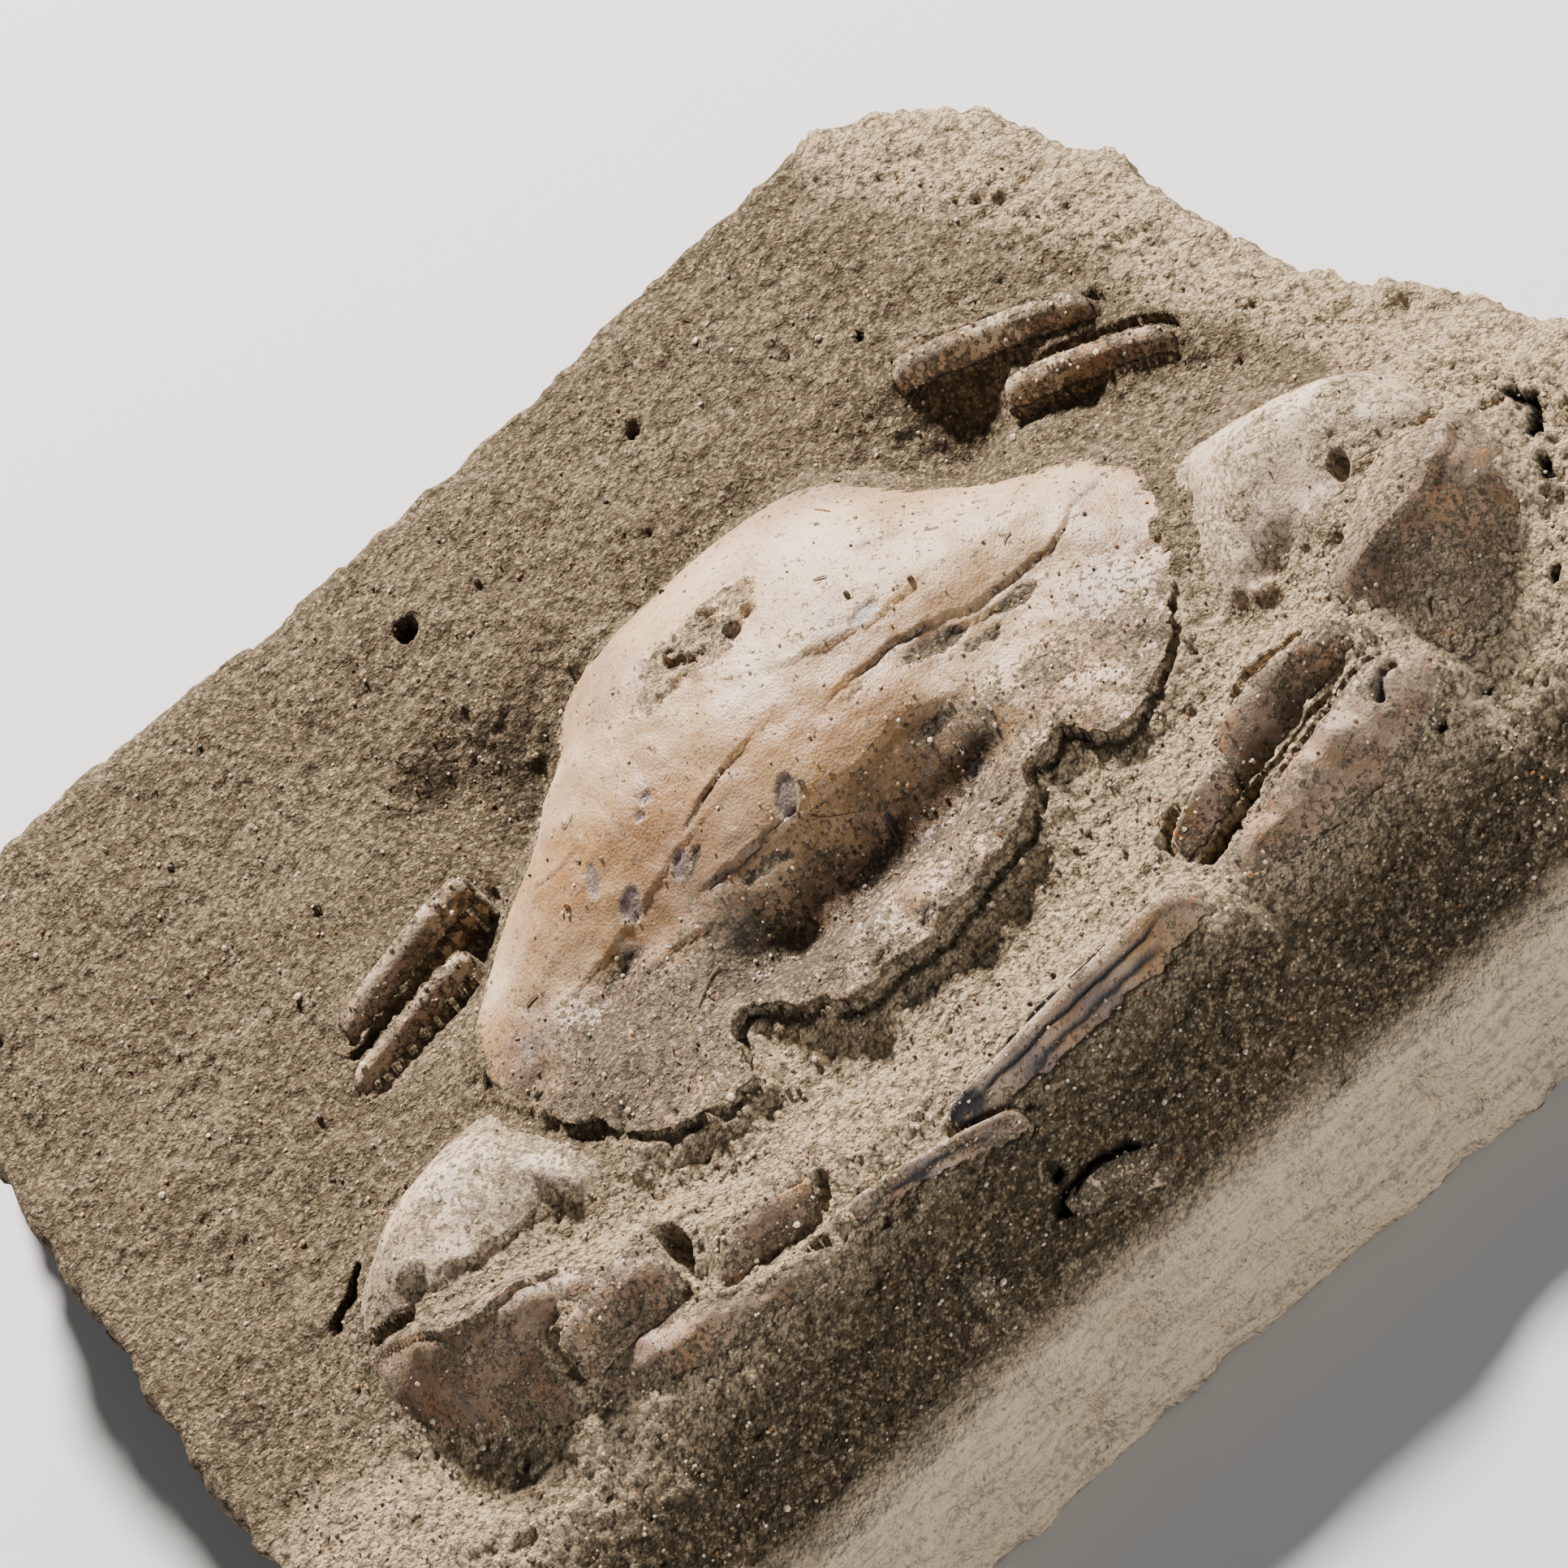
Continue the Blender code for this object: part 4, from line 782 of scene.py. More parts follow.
        foot=[(22.8, -41.2, 0.5), (25.6, -40.6, 0.6), (28.2, -39.8, 0.7), (30.4, -39.2, 0.8)],
        stainsAndPaintedLight=dict(rust=[(23.2, -39.4, 1.6, 1.2)], orange=[(25, -38.4, 1.8, 1)], stain_and_shade=[(28, -39, 3, 0.7)],
                    bleached_and_highlight=[(28, -37, 1.2, 1), (30, -36.2, 1.2, 0.8)])),
    "left_lower_finger": dict(
        lowerMarks, stretch=(1.02, 1.4, 13, 0.8, -1.0), roughness=0.16, dust=0.26,
        slots=[([(44, -37.9), (40, -38.4), (36.4, -39.0), (32, -40.0), (28, -41.0), (22.6, -42.2)], 2.6, 1.1)],
        steps=[([(30, -42.6), (36, -40.9), (42, -39.2), (47.6, -38.2), (53, -38)], 0.3, 1.4, 4)],
        cracks=[[(49.4, -39.8), (47.5, -41), (46.6, -42), (45.4, -43.6)]],
        sandy=[(36, -43.6, 3, 0.5), (46, -44.6, 2.4, 0.5)],
        stainsAndPaintedLight=dict(lilac=[(46, -41.4, 2.6, 0.7), (40, -41, 2, 0.4)], bleached_and_highlight=[(44, -39.6, 3, 0.6)],
                    orange=[(36, -41.6, 5, 0.6)], rust=[(30, -43.6, 3, 0.4)])),
    "left_long_finger": dict(
        thinMarks, roundness=1.8, roughness=0.07, dust=0.12, sandPale=0.7, crackDepth=0.3, crackWidth=0.45,
        crest=[(-10, -46.7, 3.4), (-4, -46.1, 3.9), (4, -45.5, 4.3), (13, -45.0, 4.7), (22, -45.0, 4.8)],
        foot=[(-9.4, -48.2, 1.0), (-4, -49.0, 0.5), (4, -49.6, 0.4), (13, -49.2, 0.7), (22, -48.4, 1.2)],
        cracks=[[(-8, -47.2), (0, -47), (8, -46.8), (19, -46.4)], [(-2, -48.2), (8, -48), (17, -47.6)]],
        stainsAndPaintedLight=dict(dark=[(-9, -47.4, 3.6, 2.4), (-6.6, -47.2, 2.6, 1.6)],
                    lilac=[(0, -48.4, 4, 1), (9, -48.2, 3, 0.8)], orange=[(15, -46.6, 6, 0.8), (4, -47.6, 4, 0.6)],
                    bleached_and_highlight=[(3, -45.9, 4, 1), (12, -45.4, 4, 1), (-3, -46.4, 3, 0.9)],
                    stain_and_shade=[(8, -47, 5, 0.5)], rust=[(21, -46, 1.6, 0.8)])),
    "right_leg_rear": dict(
        legMarks, sand=(2.6, 0.75, 0.12), roughness=0.06, dust=0.26, sandPale=0.5, edgeDust=0.25,
        crest=[(-50.2, 16.0, 1.7), (-44, 17.4, 2.4), (-37, 18.9, 2.7), (-31.4, 19.9, 2.4)],
        foot=[(-49.8, 13.2, -0.6), (-43.6, 14.4, -0.4), (-36.8, 15.8, -0.3), (-31.6, 16.9, -0.2)],
        stainsAndPaintedLight=dict(bleached_and_highlight=[(-44, 17, 4, 0.6), (-36, 18.8, 3, 0.5)], rust=[(-49.6, 15.4, 2, 0.5)],
                    stain_and_shade=[(-42, 14.8, 4, 0.4)])),
    "right_leg_front": dict(
        legMarks, sand=(2.6, 0.75, 0.12), roughness=0.06, dust=0.3, sandPale=0.4, edgeDust=0.25,
        crest=[(-52.2, 9.8, 1.1), (-46, 10.9, 1.7), (-40, 12.0, 1.8), (-35.6, 12.7, 1.6)],
        foot=[(-51.8, 7.4, -1.0), (-46, 8.4, -0.9), (-40, 9.6, -0.8), (-35.8, 10.5, -0.6)],
        stainsAndPaintedLight=dict(bleached_and_highlight=[(-42, 11.4, 4, 0.5)], orange=[(-48, 9.6, 3, 0.4)])),
    "left_leg_rear": dict(
        legMarks, sand=(2.6, 0.8, 0.15), roughness=0.1, dust=0.32, sandPale=0.5, edgeDust=0.3,
        crest=[(28, 33.4, 2.2), (34, 30.6, 2.8), (41, 27.1, 2.9), (47.8, 23.5, 2.2)],
        foot=[(27.4, 30.4, -0.5), (33.2, 27.6, -0.4), (40, 24.2, -0.3), (46.8, 20.8, -0.5)],
        stainsAndPaintedLight=dict(bleached_and_highlight=[(40, 27, 5, 0.6), (30, 31.6, 3, 0.6)], orange=[(34, 29.6, 4, 0.5)])),
    "left_leg_front": dict(
        legMarks, sand=(2.6, 0.8, 0.15), roughness=0.08, dust=0.26, sandPale=0.4, edgeDust=0.3, roundness=2.4,
        crest=[(35.4, 22.4, 1.5), (41, 19.8, 2.0), (47, 16.6, 1.9), (52, 13.6, 1.2)],
        foot=[(34.8, 19.8, -0.7), (40, 17.0, -0.6), (45.8, 14.0, -0.6), (51, 11.2, -0.9)],
        stainsAndPaintedLight=dict(orange=[(44, 17.6, 5, 0.8), (38, 20.6, 3, 0.5)], bleached_and_highlight=[(40, 20, 3, 0.6)])),
    "flank_shell_piece": dict(
        flankMarks, swell=0.3, roughness=0.2, dust=0.45, ridges=[([(-5.4, -57.8), (-1, -57.4), (3, -58.8)], 0.5, 0.7)],
        stainsAndPaintedLight=dict(bleached_and_highlight=[(-2, -57.4, 2.5, 0.4)])),
    "flank_leg_stub": dict(
        flankMarks, swell=0.5, roughness=0.1, dust=0.4, stainsAndPaintedLight=dict(bleached_and_highlight=[(-17, -59, 2.5, 0.6)])),
}


def stretchPiece(obj, along, across, turn, shiftX, shiftY):
    # longer and wider about its own middle, then moved; turn is its direction in degrees
    points = readPoints(obj)
    middle = points[:, :2].mean(axis=0)
    way = np.array((math.cos(math.radians(turn)), math.sin(math.radians(turn))))
    side = np.array((-way[1], way[0]))
    offset = points[:, :2] - middle
    points[:, :2] = (middle + np.outer(offset @ way * along, way) + np.outer(offset @ side * across, side)
                     + (shiftX, shiftY))
    writePoints(obj, points)


def sculptPiece(name, look, seed):
    obj = basePiece(name, look)
    if "stretch" in look:
        stretchPiece(obj, *look["stretch"])
    gap = rimGap(obj)
    points = readPoints(obj)
    top = ease(readNormals(obj)[:, 2], 0.05, 0.4)
    xy = points[:, :2]
    inner = ease(gap, 0.2, 2.0)
    ragged = shaken(points, 0.3, 2.5, seed + 20)
    lift = look["swell"] * ease(gap, 0.2, 3.2)
    for line, height, rear, front in look["steps"]:
        lift += step(ragged, line, height, rear, front)
    for line, height, width in look["ridges"]:
        lift += height * groove(ragged, line, width)
    for px, py, radius, height in look["lumps"]:
        lift += height * ease(spot(ragged, (px, py), radius), 0.05, 0.7) * inner
    cracks = grooves(ragged, look["cracks"], look["crackWidth"])
    lift -= look["crackDepth"] * cracks
    slots = np.zeros(len(points))
    for line, depth, width in look["slots"]:
        slot = ease(groove(ragged, line, width), 0.1, 0.7)
        slots = np.maximum(slots, slot)
        lift -= depth * slot
    patches = blots(xy, look["sandy"])
    sandy = ease(patches + 0.3 * waves(points, 2.6, seed + 11, 3), 0.15, 0.7) * (patches > 0.02)
    lift += look["roughness"] * waves(points, 3.4, seed, 3)
    lift += sandy * (0.3 * np.abs(waves(points, 1.8, seed + 2, 3)) + 0.22 * crumbs(points, 1.1, seed) - 0.1)
    points[:, 2] += lift * top * ease(gap, -0.1, 0.7)
    writePoints(obj, points)

    mottle = 0.85 + 0.5 * waves(points, 2.4, seed + 5, 2)
    marks = {colour: blots(ragged, places) * mottle for colour, places in look["stainsAndPaintedLight"].items()}
    # the slots are painted near-black over their whole width, painted shade; the cracks and dark stains are painted
    # dark too
    marks["dark"] = np.maximum(np.maximum(marks.get("dark", 0), cracks), 0.9 * slots)
    edgeSand = (1 - ease(gap, 0.2, 2.4)) * ease(waves(points, 2.8, seed + 7, 2), -0.6, 0.3)
    marks["dust"] = (look["dust"] + look["edgeDust"] * edgeSand + 0.55 * sandy
                     + 0.28 * waves(points, 4.5, seed + 9, 3))
    marks["pale"] = look["sandPale"] + 0.3 * sandy
    marks["shade"] = look["sandShade"] * (1 - sandy)
    paintAll(obj, marks)
    finishPiece(obj, name, look)
    return obj


fossils = [sculptCarapace(carapaceLook)]
for number, (name, look) in enumerate(pieceLooks.items()):
    fossils.append(sculptPiece(name, look, 60 + number * 11))


# The stone: the CAD block with the fossils' lower parts grown into it, and a finer crust over its top.
stoneLook = {
    "voxel": 0.85,
    "coreSink": 0.8,           # how far the stone lies under a fossil's own skin, in millimetres
    "crustCell": 0.36,
    "crustSink": 9.0,          # how far the block gives way under the crust
    "seatWidth": 0.95,         # the seat round each fossil that the crust fills up
    "underFossil": 2.8,        # how far the crust runs in under a fossil's edge
    "rimReach": 6,             # how far off a fossil its rim still raises the sand
    "frontFrom": -24,          # the crust in front of this is a piece of its own
    "brokenEdge": ((-44, -20, 2, 22, 35, 60), (72, 67, 59, 50, 46, 33)),      # y, and x where the slope begins
    "heap": ((-24, -16, 20, 32), (2.3, 1.4, 1.2, 2.1)),      # x, and how high sand is banked against the lip
    "crustEdge": [(-79, -56), (-70, -60), (-40, -60.5), (0, -59.5), (40, -60.5), (68, -59.5), (76, -54), (77, -40),
                  (76.5, -22), (71, -8), (64, 3), (59, 12), (56.5, 22), (54.5, 31), (52, 40), (48, 48), (42, 56),
                  (34, 60.5), (0, 60), (-40, 60), (-74, 61), (-79.5, 56), (-80, 20), (-80.5, -30), (-80, -46)],
    "hollows": [    # x, y, radius, depth
        (-27, 31, 10.5, 2.9), (-30, 34, 5, 0.8), (-37, 24, 6, 0.8), (30, 25, 9, 1.3), (-38, 24, 8, 0.7),
        (-60, -2, 9, 0.5), (-24, 26, 6, 0.8), (48, 12, 7, 0.5), (-50, 42, 9, 0.5), (20, 44, 10, 0.4),
        (-70, 26, 10, 0.4)],
    "dips": [       # line, depth, width: where the stone was cleared away behind the shell
        ([(-44, 4), (-37, 12), (-30, 20), (-23, 27), (-14, 32.5), (-2, 34), (10, 33), (18, 29), (24, 24), (30, 18),
          (36, 12)], 1.6, 8.5),
        ([(-40, 11), (-33, 17), (-26, 23), (-18, 28), (-9, 32)], 2.4, 8),
        ([(26, 17), (30, 21), (36, 20), (44, 14)], 1.6, 5),
        ([(-56, 4), (-46, 9), (-38, 11)], 0.7, 4),
    ],
    # shades: painted shade over the cleared hollows and slopes that face away from the light: x, y, radius, strength
    "shades": [(-28, 31, 17, 2.0), (-38, 22, 10, 1.2), (-18, 32, 8, 0.8), (28, 26, 9, 0.8), (-60, 0, 10, 0.5),
               (-40, 46, 12, 0.5)],
    "cuts": [       # line, depth, width: open slots and cracks in the stone
        ([(-51.5, 11.7), (-43, 13.0), (-36, 14.6)], 2.2, 1.2),
        ([(-60.6, -8.4), (-63.9, -11.5), (-67, -13.8)], 2.4, 1.1),
        ([(72.4, -20.6), (73.4, -24.2), (71.6, -28)], 1.5, 0.9), ([(71.4, -29.6), (70, -33)], 1.2, 0.8),
        ([(66, -40.4), (64.6, -42)], 1.2, 0.8),
        ([(44, -37.9), (40, -38.4), (36.4, -39.0), (32, -40.0), (28, -41.0), (22.6, -42.2)], 3.6, 1.1),
        ([(-38.8, -10.6), (-36.4, -13.8)], 1.4, 0.9),
        ([(-41.4, -3.4), (-40.2, -5.4)], 1.8, 1.4),
        ([(-1.5, -46.2), (6, -45.8), (13, -44.6)], 0.8, 1.2),
        ([(-8, -57.2), (-2, -56.6), (3, -57.4)], 1.2, 1.3),
    ],
    "holes": [      # x, y, radius, depth
        (-5, -54.6, 1.2, 1.3), (-5, -57.7, 1.2, 1.2), (-6.8, -61, 1.0, 1), (48.2, -44.8, 1.3, 1.5),
        (48.3, -46.8, 1.0, 1), (53.5, -45.3, 0.8, 0.8), (19.9, -61.2, 1.8, 2.2), (-22.8, 51.2, 1.7, 2.2),
        (7.2, 60, 0.9, 0.8), (-45.2, 29, 1.0, 1.0), (5.4, 50.8, 1.0, 0.9), (28, 40, 0.9, 0.7),
        (-60, -40, 0.8, 0.6)],
}


def brokenShare(points):
    # 1 on the freshly broken slope along the right and right rear edge
    start = np.interp(points[:, 1], *stoneLook["brokenEdge"])
    wander = 2.5 * waves(points, 9, 71, 2)
    return ease(points[:, 0] - start + wander, -1.5, 3) * ease(points[:, 1], -56, -44)


def roughStone(points, fine):
    x, y, z = points.T
    broken = brokenShare(points)
    flank = ease(-y, 47, 53) * (1 - broken)
    bank = ease(-y, 14 - 0.1 * x, 26 - 0.1 * x) * (1 - flank)
    height = 0.65 * (1 - broken) * waves(points, 13, 5, 2) + 0.5 * waves(points, 5.5, 3, 3)
    height += broken * (0.9 * waves(points, 6.5, 8, 2) + 0.9 * np.abs(waves(points, 2.8, 9, 3)))
    height += (0.45 - 0.25 * bank) * (1 - broken) * np.abs(waves(points, 3.0, 10, 3)) - 0.1
    if fine:
        height += (0.15 + 0.1 * bank + 0.35 * broken) * crumbs(points, 1.8, 11) - 0.15
        height += (0.14 + 0.14 * bank + 0.1 * flank) * crumbs(points, 0.95, 12) - 0.1
        height -= 0.4 * ease(waves(points, 1.7, 13, 2), 0.5, 0.8)
    return height, broken, flank, bank


def makeBlock(look):
    block = copyNode("stone", "stone_block")
    cores = []
    for name in ["carapace", *pieceLooks]:
        core = copyNode(name, name + "_core")
        points = readPoints(core)
        points[:, 2] -= look["coreSink"]
        writePoints(core, points)
        cores.append(core)
    deselect()
    for core in cores:
        core.select_set(True)
    block.select_set(True)
    bpy.context.view_layer.objects.active = block
    bpy.ops.object.join()
    useModifier(block, "REMESH", mode="VOXEL", voxel_size=look["voxel"] / 1000)
    useModifier(block, "SMOOTH", factor=0.5, iterations=3)
    return block


def edgeGap(xy, ring):
    # plan distance from a closed outline, positive inside it
    closed = ring + ring[:1]
    gap = alongLine(xy, closed)[0]
    x, y = xy[:, 0], xy[:, 1]
    inside = np.zeros(len(xy), bool)
    for (ax, ay), (bx, by) in zip(closed[:-1], closed[1:]):
        if ay != by:
            crosses = (ay > y) != (by > y)
            inside ^= crosses & (x < ax + (y - ay) * (bx - ax) / (by - ay))
    return np.where(inside, gap, -gap)


def holesAndCuts(points, look):
    xy = points[:, :2]
    depth = np.zeros(len(points))
    for line, size, width in look["dips"]:
        gap, _, share = alongLine(xy, line)
        depth += size * np.clip(1 - gap / width, 0, 1) ** 1.3 * ease(share, 0, 0.12) * (1 - ease(share, 0.88, 1))
    for px, py, radius, size in look["hollows"]:
        depth += size * spot(xy, (px, py), radius)
    # the slots, cracks and holes are painted near-black as painted shade inside them
    dark = np.zeros(len(points))
    ragged = shaken(points * np.array((1, 1, 0)), 0.6, 2.2, 84)
    for line, size, width in look["cuts"]:
        cut = groove(ragged, line, width)
        depth += size * ease(cut, 0.05, 0.7)
        dark = np.maximum(dark, ease(cut, 0.08, 0.4))
    for px, py, radius, size in look["holes"]:
        hole = ease(spot(xy, (px, py), radius), 0.15, 0.6)
        depth += size * hole
        dark = np.maximum(dark, 0.9 * hole)
    return depth, dark


def treeOf(mesh):
    return bvhtree.BVHTree.FromPolygons([v.co.copy() for v in mesh.vertices],
                                        [tuple(p.vertices) for p in mesh.polygons])


def dropOnto(mesh, points, which):
    # height of a mesh's top under each chosen point, in crab millimetres
    tree = treeOf(mesh)
    world = (points + crabZero) / 1000
    corners = np.array([v.co[:2] for v in mesh.vertices])
    near = np.all((world[which, :2] > corners.min(0)) & (world[which, :2] < corners.max(0)), axis=1)
    heights = np.full(len(points), np.nan)
    for i in which[near]:
        hit = tree.ray_cast((world[i][0], world[i][1], 0.06), (0, 0, -1))
        if hit[0] is not None:
            heights[i] = hit[0].z * 1000 - crabZero[2]
    return heights


def planTree(points, which):
    tree = kdtree.KDTree(len(which))
    for i in which:
        tree.insert((points[i][0], points[i][1], 0), int(i))
    tree.balance()
    return tree


def paintStone(obj, points, broken, flank, bank, dark):
    x, y, z = points.T
    cut = ease(-y, 59.5, 63.5) * ease(-z, 8, 13)
    plain = (1 - bank) * (1 - broken) * (1 - flank)
    paint(obj, "cutFace", cut)
    # paler: the cut face at the front as painted light from the floor, the broken slope as fresh stone, and the bank in
    # front of the shell
    paint(obj, "pale", 0.92 * broken + 0.92 * bank + 0.95 * cut)
    # painted shade: the front flank and the hollows behind the shell take the dark shade tone; the last, faint term is
    # random patchiness
    paint(obj, "shade", 0.85 * flank * (1 - cut) + 0.6 * blots(points[:, :2], stoneLook["shades"])
          + 0.25 * plain * ease(waves(points, 12, 81, 2), -0.5, 0.6))
    paint(obj, "deep", dark)


def gridOver(name, outline, cell):
    # a flat grid over the outline's extent, in crab millimetres
    low, high = np.min(outline, axis=0), np.max(outline, axis=0)
    span = high - low
    middle = (low + high) / 2
    deselect()
    bpy.ops.mesh.primitive_grid_add(x_subdivisions=int(span[0] / cell), y_subdivisions=int(span[1] / cell), size=0.001)
    obj = bpy.context.active_object
    obj.name = obj.data.name = name
    points = readPoints(obj) + crabZero
    points[:, 0] = points[:, 0] * span[0] + middle[0]
    points[:, 1] = points[:, 1] * span[1] + middle[1]
    points[:, 2] = 0
    return obj, points


def nearestIn(tree, points):
    return np.array([tree.find((p[0], p[1], 0))[2] for p in points.tolist()])


def dropVertices(obj, keep):
    mesh = bmesh.new()
    mesh.from_mesh(obj.data)
    mesh.verts.ensure_lookup_table()
    bmesh.ops.delete(mesh, geom=[v for v in mesh.verts if not keep[v.index]], context="VERTS")
    mesh.to_mesh(obj.data)
    mesh.free()


# The crust: a fine grid laid on the block's top. It climbs onto the fossils' rims, and dips into the block all round.
crust, points = gridOver("stone_crust", stoneLook["crustEdge"], stoneLook["crustCell"])
inward = edgeGap(points[:, :2], stoneLook["crustEdge"])
onBlock = np.where(inward > -0.4)[0]
ground = dropOnto(nodes["stone"].data, points, onBlock)
shellTop = dropOnto(fossils[0].data, points, onBlock)
fossilTop = shellTop.copy()
reach = np.full(len(points), 3.0)        # how far the sand slopes away from a fossil
hold = np.full(len(points), 0.75)        # how high it stands against it, as a share
lapWidth = np.full(len(points), 0.9)     # how far it laps over it
for fossil, look in zip(fossils[1:], pieceLooks.values()):
    top = dropOnto(fossil.data, points, onBlock)
    here = ~np.isnan(top) & ~(fossilTop > top)
    fossilTop[here] = top[here]
    reach[here], hold[here], lapWidth[here] = look["sand"]
covered = ~np.isnan(fossilTop)
underShell = ~np.isnan(shellTop)
coverTree = planTree(points, np.where(covered)[0])
fossilGap = nearestIn(coverTree, points)
shellGap = nearestIn(planTree(points, np.where(underShell)[0]), points)
pieceGap = nearestIn(planTree(points, np.where(covered & ~underShell)[0]), points)
openTree = planTree(points, np.where((fossilGap > stoneLook["seatWidth"]) & ~np.isnan(ground))[0])
bareTree = planTree(points, np.where(~covered)[0])
deepInside = np.where(covered, nearestIn(bareTree, points), 0)
# right at a rim the surface is steep, so the sand there takes its height from a little further in
insideTree = planTree(points, np.where(covered & (deepInside > 0.4))[0])
for i in np.where(covered & (deepInside <= 0.4))[0]:
    near = insideTree.find_n((points[i][0], points[i][1], 0), 2)
    if near[0][2] < 0.9:
        fossilTop[i] = np.mean([fossilTop[n[1]] for n in near])
rimLevel = np.zeros(len(points))
for i in onBlock:
    if fossilGap[i] < stoneLook["seatWidth"]:      # the seat that the block has round each fossil is filled up
        ground[i] = np.mean([ground[n[1]] for n in openTree.find_n((points[i][0], points[i][1], 0), 3)])
    if not covered[i] and fossilGap[i] < stoneLook["rimReach"]:
        near = [n[1] for n in coverTree.find_n((points[i][0], points[i][1], 0), 8)]
        rimLevel[i] = np.mean(fossilTop[near])
        reach[i], hold[i] = reach[near[0]], hold[near[0]]
        if fossilGap[i] < 1.2:
            lapWidth[i] = lapWidth[near[0]]
keep = ~np.isnan(ground) & (deepInside < stoneLook["underFossil"])
points[:, 2] = np.where(np.isnan(ground), -20, ground)
writePoints(crust, points)
dropVertices(crust, keep)
points, inward, covered, underShell, fossilTop, fossilGap = (
    values[keep] for values in (points, inward, covered, underShell, fossilTop, fossilGap))
shellGap, pieceGap, deepInside, rimLevel, reach, hold, lapWidth = (
    values[keep] for values in (shellGap, pieceGap, deepInside, rimLevel, reach, hold, lapWidth))
rough, broken, flank, bank = roughStone(points, True)
depth, dark = holesAndCuts(points, stoneLook)
# in front, the shell's edge stands free
lipSide = ease(-points[:, 1], 8, 15) * ease(1.5 - shellGap + 3 * underShell, 0, 1)
climb = hold * np.clip(1 - fossilGap / reach, 0, 1) ** 1.8 * (1 - lipSide)
wander = waves(points, 2.4, 88, 2)
level = points[:, 2] + climb * (rimLevel - points[:, 2]) * (0.9 + 0.35 * wander)
heap = np.interp(points[:, 0], *stoneLook["heap"])
level += heap * (1 - ease(shellGap, 0.5, 7)) * ease(-points[:, 1], 4, 10) * ease(pieceGap, 0.3, 4)
outside = level + rough * (0.55 + 0.45 * ease(fossilGap, 0, 2.5))
lap = lapWidth * (0.8 + 1.5 * wander)
onRim = fossilTop + 0.10 + 0.4 * rough * (1 - ease(deepInside, 0.5, 1.5)) - 0.9 * ease(deepInside, lap, lap + 1.3)
setBack = 0.2 + 0.5 * waves(points, 1.6, 89, 2)      # the sand wall under the lip, ragged and a little sloped
wallTop = fossilTop - 0.55 - 0.4 * np.abs(waves(points, 1.1, 90, 2))
onRim = np.where(lipSide > 0.5, level + (wallTop - level) * ease(deepInside, setBack - 0.3, setBack + 0.45), onRim)
points[:, 2] = np.where(covered, onRim, outside)
points[:, 2] -= depth * ~covered * (0.25 + 0.75 * ease(shellGap, 0.2, 3))
points[:, 2] -= 1.2 * (1 - ease(inward, -0.4, 0.3))
wallNoise = waves(points, 1.4, 91, 3) * (1 - ease(np.abs(shellGap), 0, 0.8))
points[:, :2] += wallNoise[:, None] * np.array((0.16, 0.22))
points[:, 2] += 0.35 * waves(points, 1.0, 92, 2) * (1 - ease(np.abs(shellGap), 0, 1.6)) * lipSide * ~covered
writePoints(crust, points)
paintStone(crust, points, broken, flank, bank, dark)
crust.data.materials.append(sandstone)
pick(crust)
bpy.ops.object.shade_smooth()
editFaces(crust, lambda face: face.calc_center_median().y * 1000 - crabZero[1] < stoneLook["frontFrom"])
bpy.ops.mesh.separate(type="SELECTED")
bpy.ops.object.mode_set(mode="OBJECT")
frontCrust = [o for o in bpy.context.selected_objects if o != crust][0]
frontCrust.name = frontCrust.data.name = "stone_crust_front"
for obj in (crust, frontCrust):
    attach(obj, "root")
    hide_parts("stone")
    print(obj.name, len(obj.data.polygons), "faces")

# the block itself gives way under the crust and is coarser
block = makeBlock(stoneLook)
points = readPoints(block)
normals = readNormals(block)
rough, broken, flank, bank = roughStone(points, False)
side = 1 - ease(np.abs(normals[:, 2]), 0.3, 0.7)
chips = np.abs(waves(points, 13, 16, 3))      # the broken sides are hollowed here and there
frontFace = ease(-points[:, 1], 57, 61)
rough += side * (0.5 * waves(points, 5, 15, 3) + (0.3 - 1.5 * ease(chips, 0.08, 0.45)) * (1 - 0.85 * frontFace))
faceUp = ease(normals[:, 2], 0.2, 0.5)
under = ease(edgeGap(points[:, :2], stoneLook["crustEdge"]), 1.8, 4.5) * faceUp
rough *= ease(points[:, 2], -27.9, -24) * (1 - under)
points += normals * rough[:, None]
points[:, 2] -= stoneLook["crustSink"] * under
points[:, 2] -= 0.5 * ease(edgeGap(points[:, :2], stoneLook["crustEdge"]), 0.0, 1.0) * faceUp
points[:, 2] = np.where(points[:, 2] < -27.5, -28.0, points[:, 2])
writePoints(block, points)
paintStone(block, points, broken, flank, bank, np.zeros(len(points)))
editFaces(block, lambda face: all(v.co.z < 0.00001 for v in face.verts))      # the flat underside needs few faces
bpy.ops.mesh.dissolve_limited(angle_limit=math.radians(1))
bpy.ops.object.mode_set(mode="OBJECT")
block.data.materials.append(sandstone)
pick(block)
bpy.ops.object.shade_smooth()
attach(block, "root")
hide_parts("stone")
print("block", len(block.data.polygons), "faces")

# Loose sand grains, all in one mesh: one rough ball, repeated with its own size, turn and tone.
grainLook = {
    "tries": 5200,                    # those that land on steep or clean places are left out
    "radius": (0.09, 0.26),           # millimetres
    "tones": [(0.52, "pale"), (0.30, "tan"), (0.13, "brown"), (0.05, "rust")],
    "colours": {"pale": (0.60, 0.48, 0.34), "tan": (0.34, 0.23, 0.13), "brown": (0.06, 0.035, 0.02),
                "rust": (0.30, 0.14, 0.05)},
    "crustShare": 0.20,
    "frontShare": 0.40,
    "carapaceShare": 0.26,
    "piecesShare": 0.14,
}


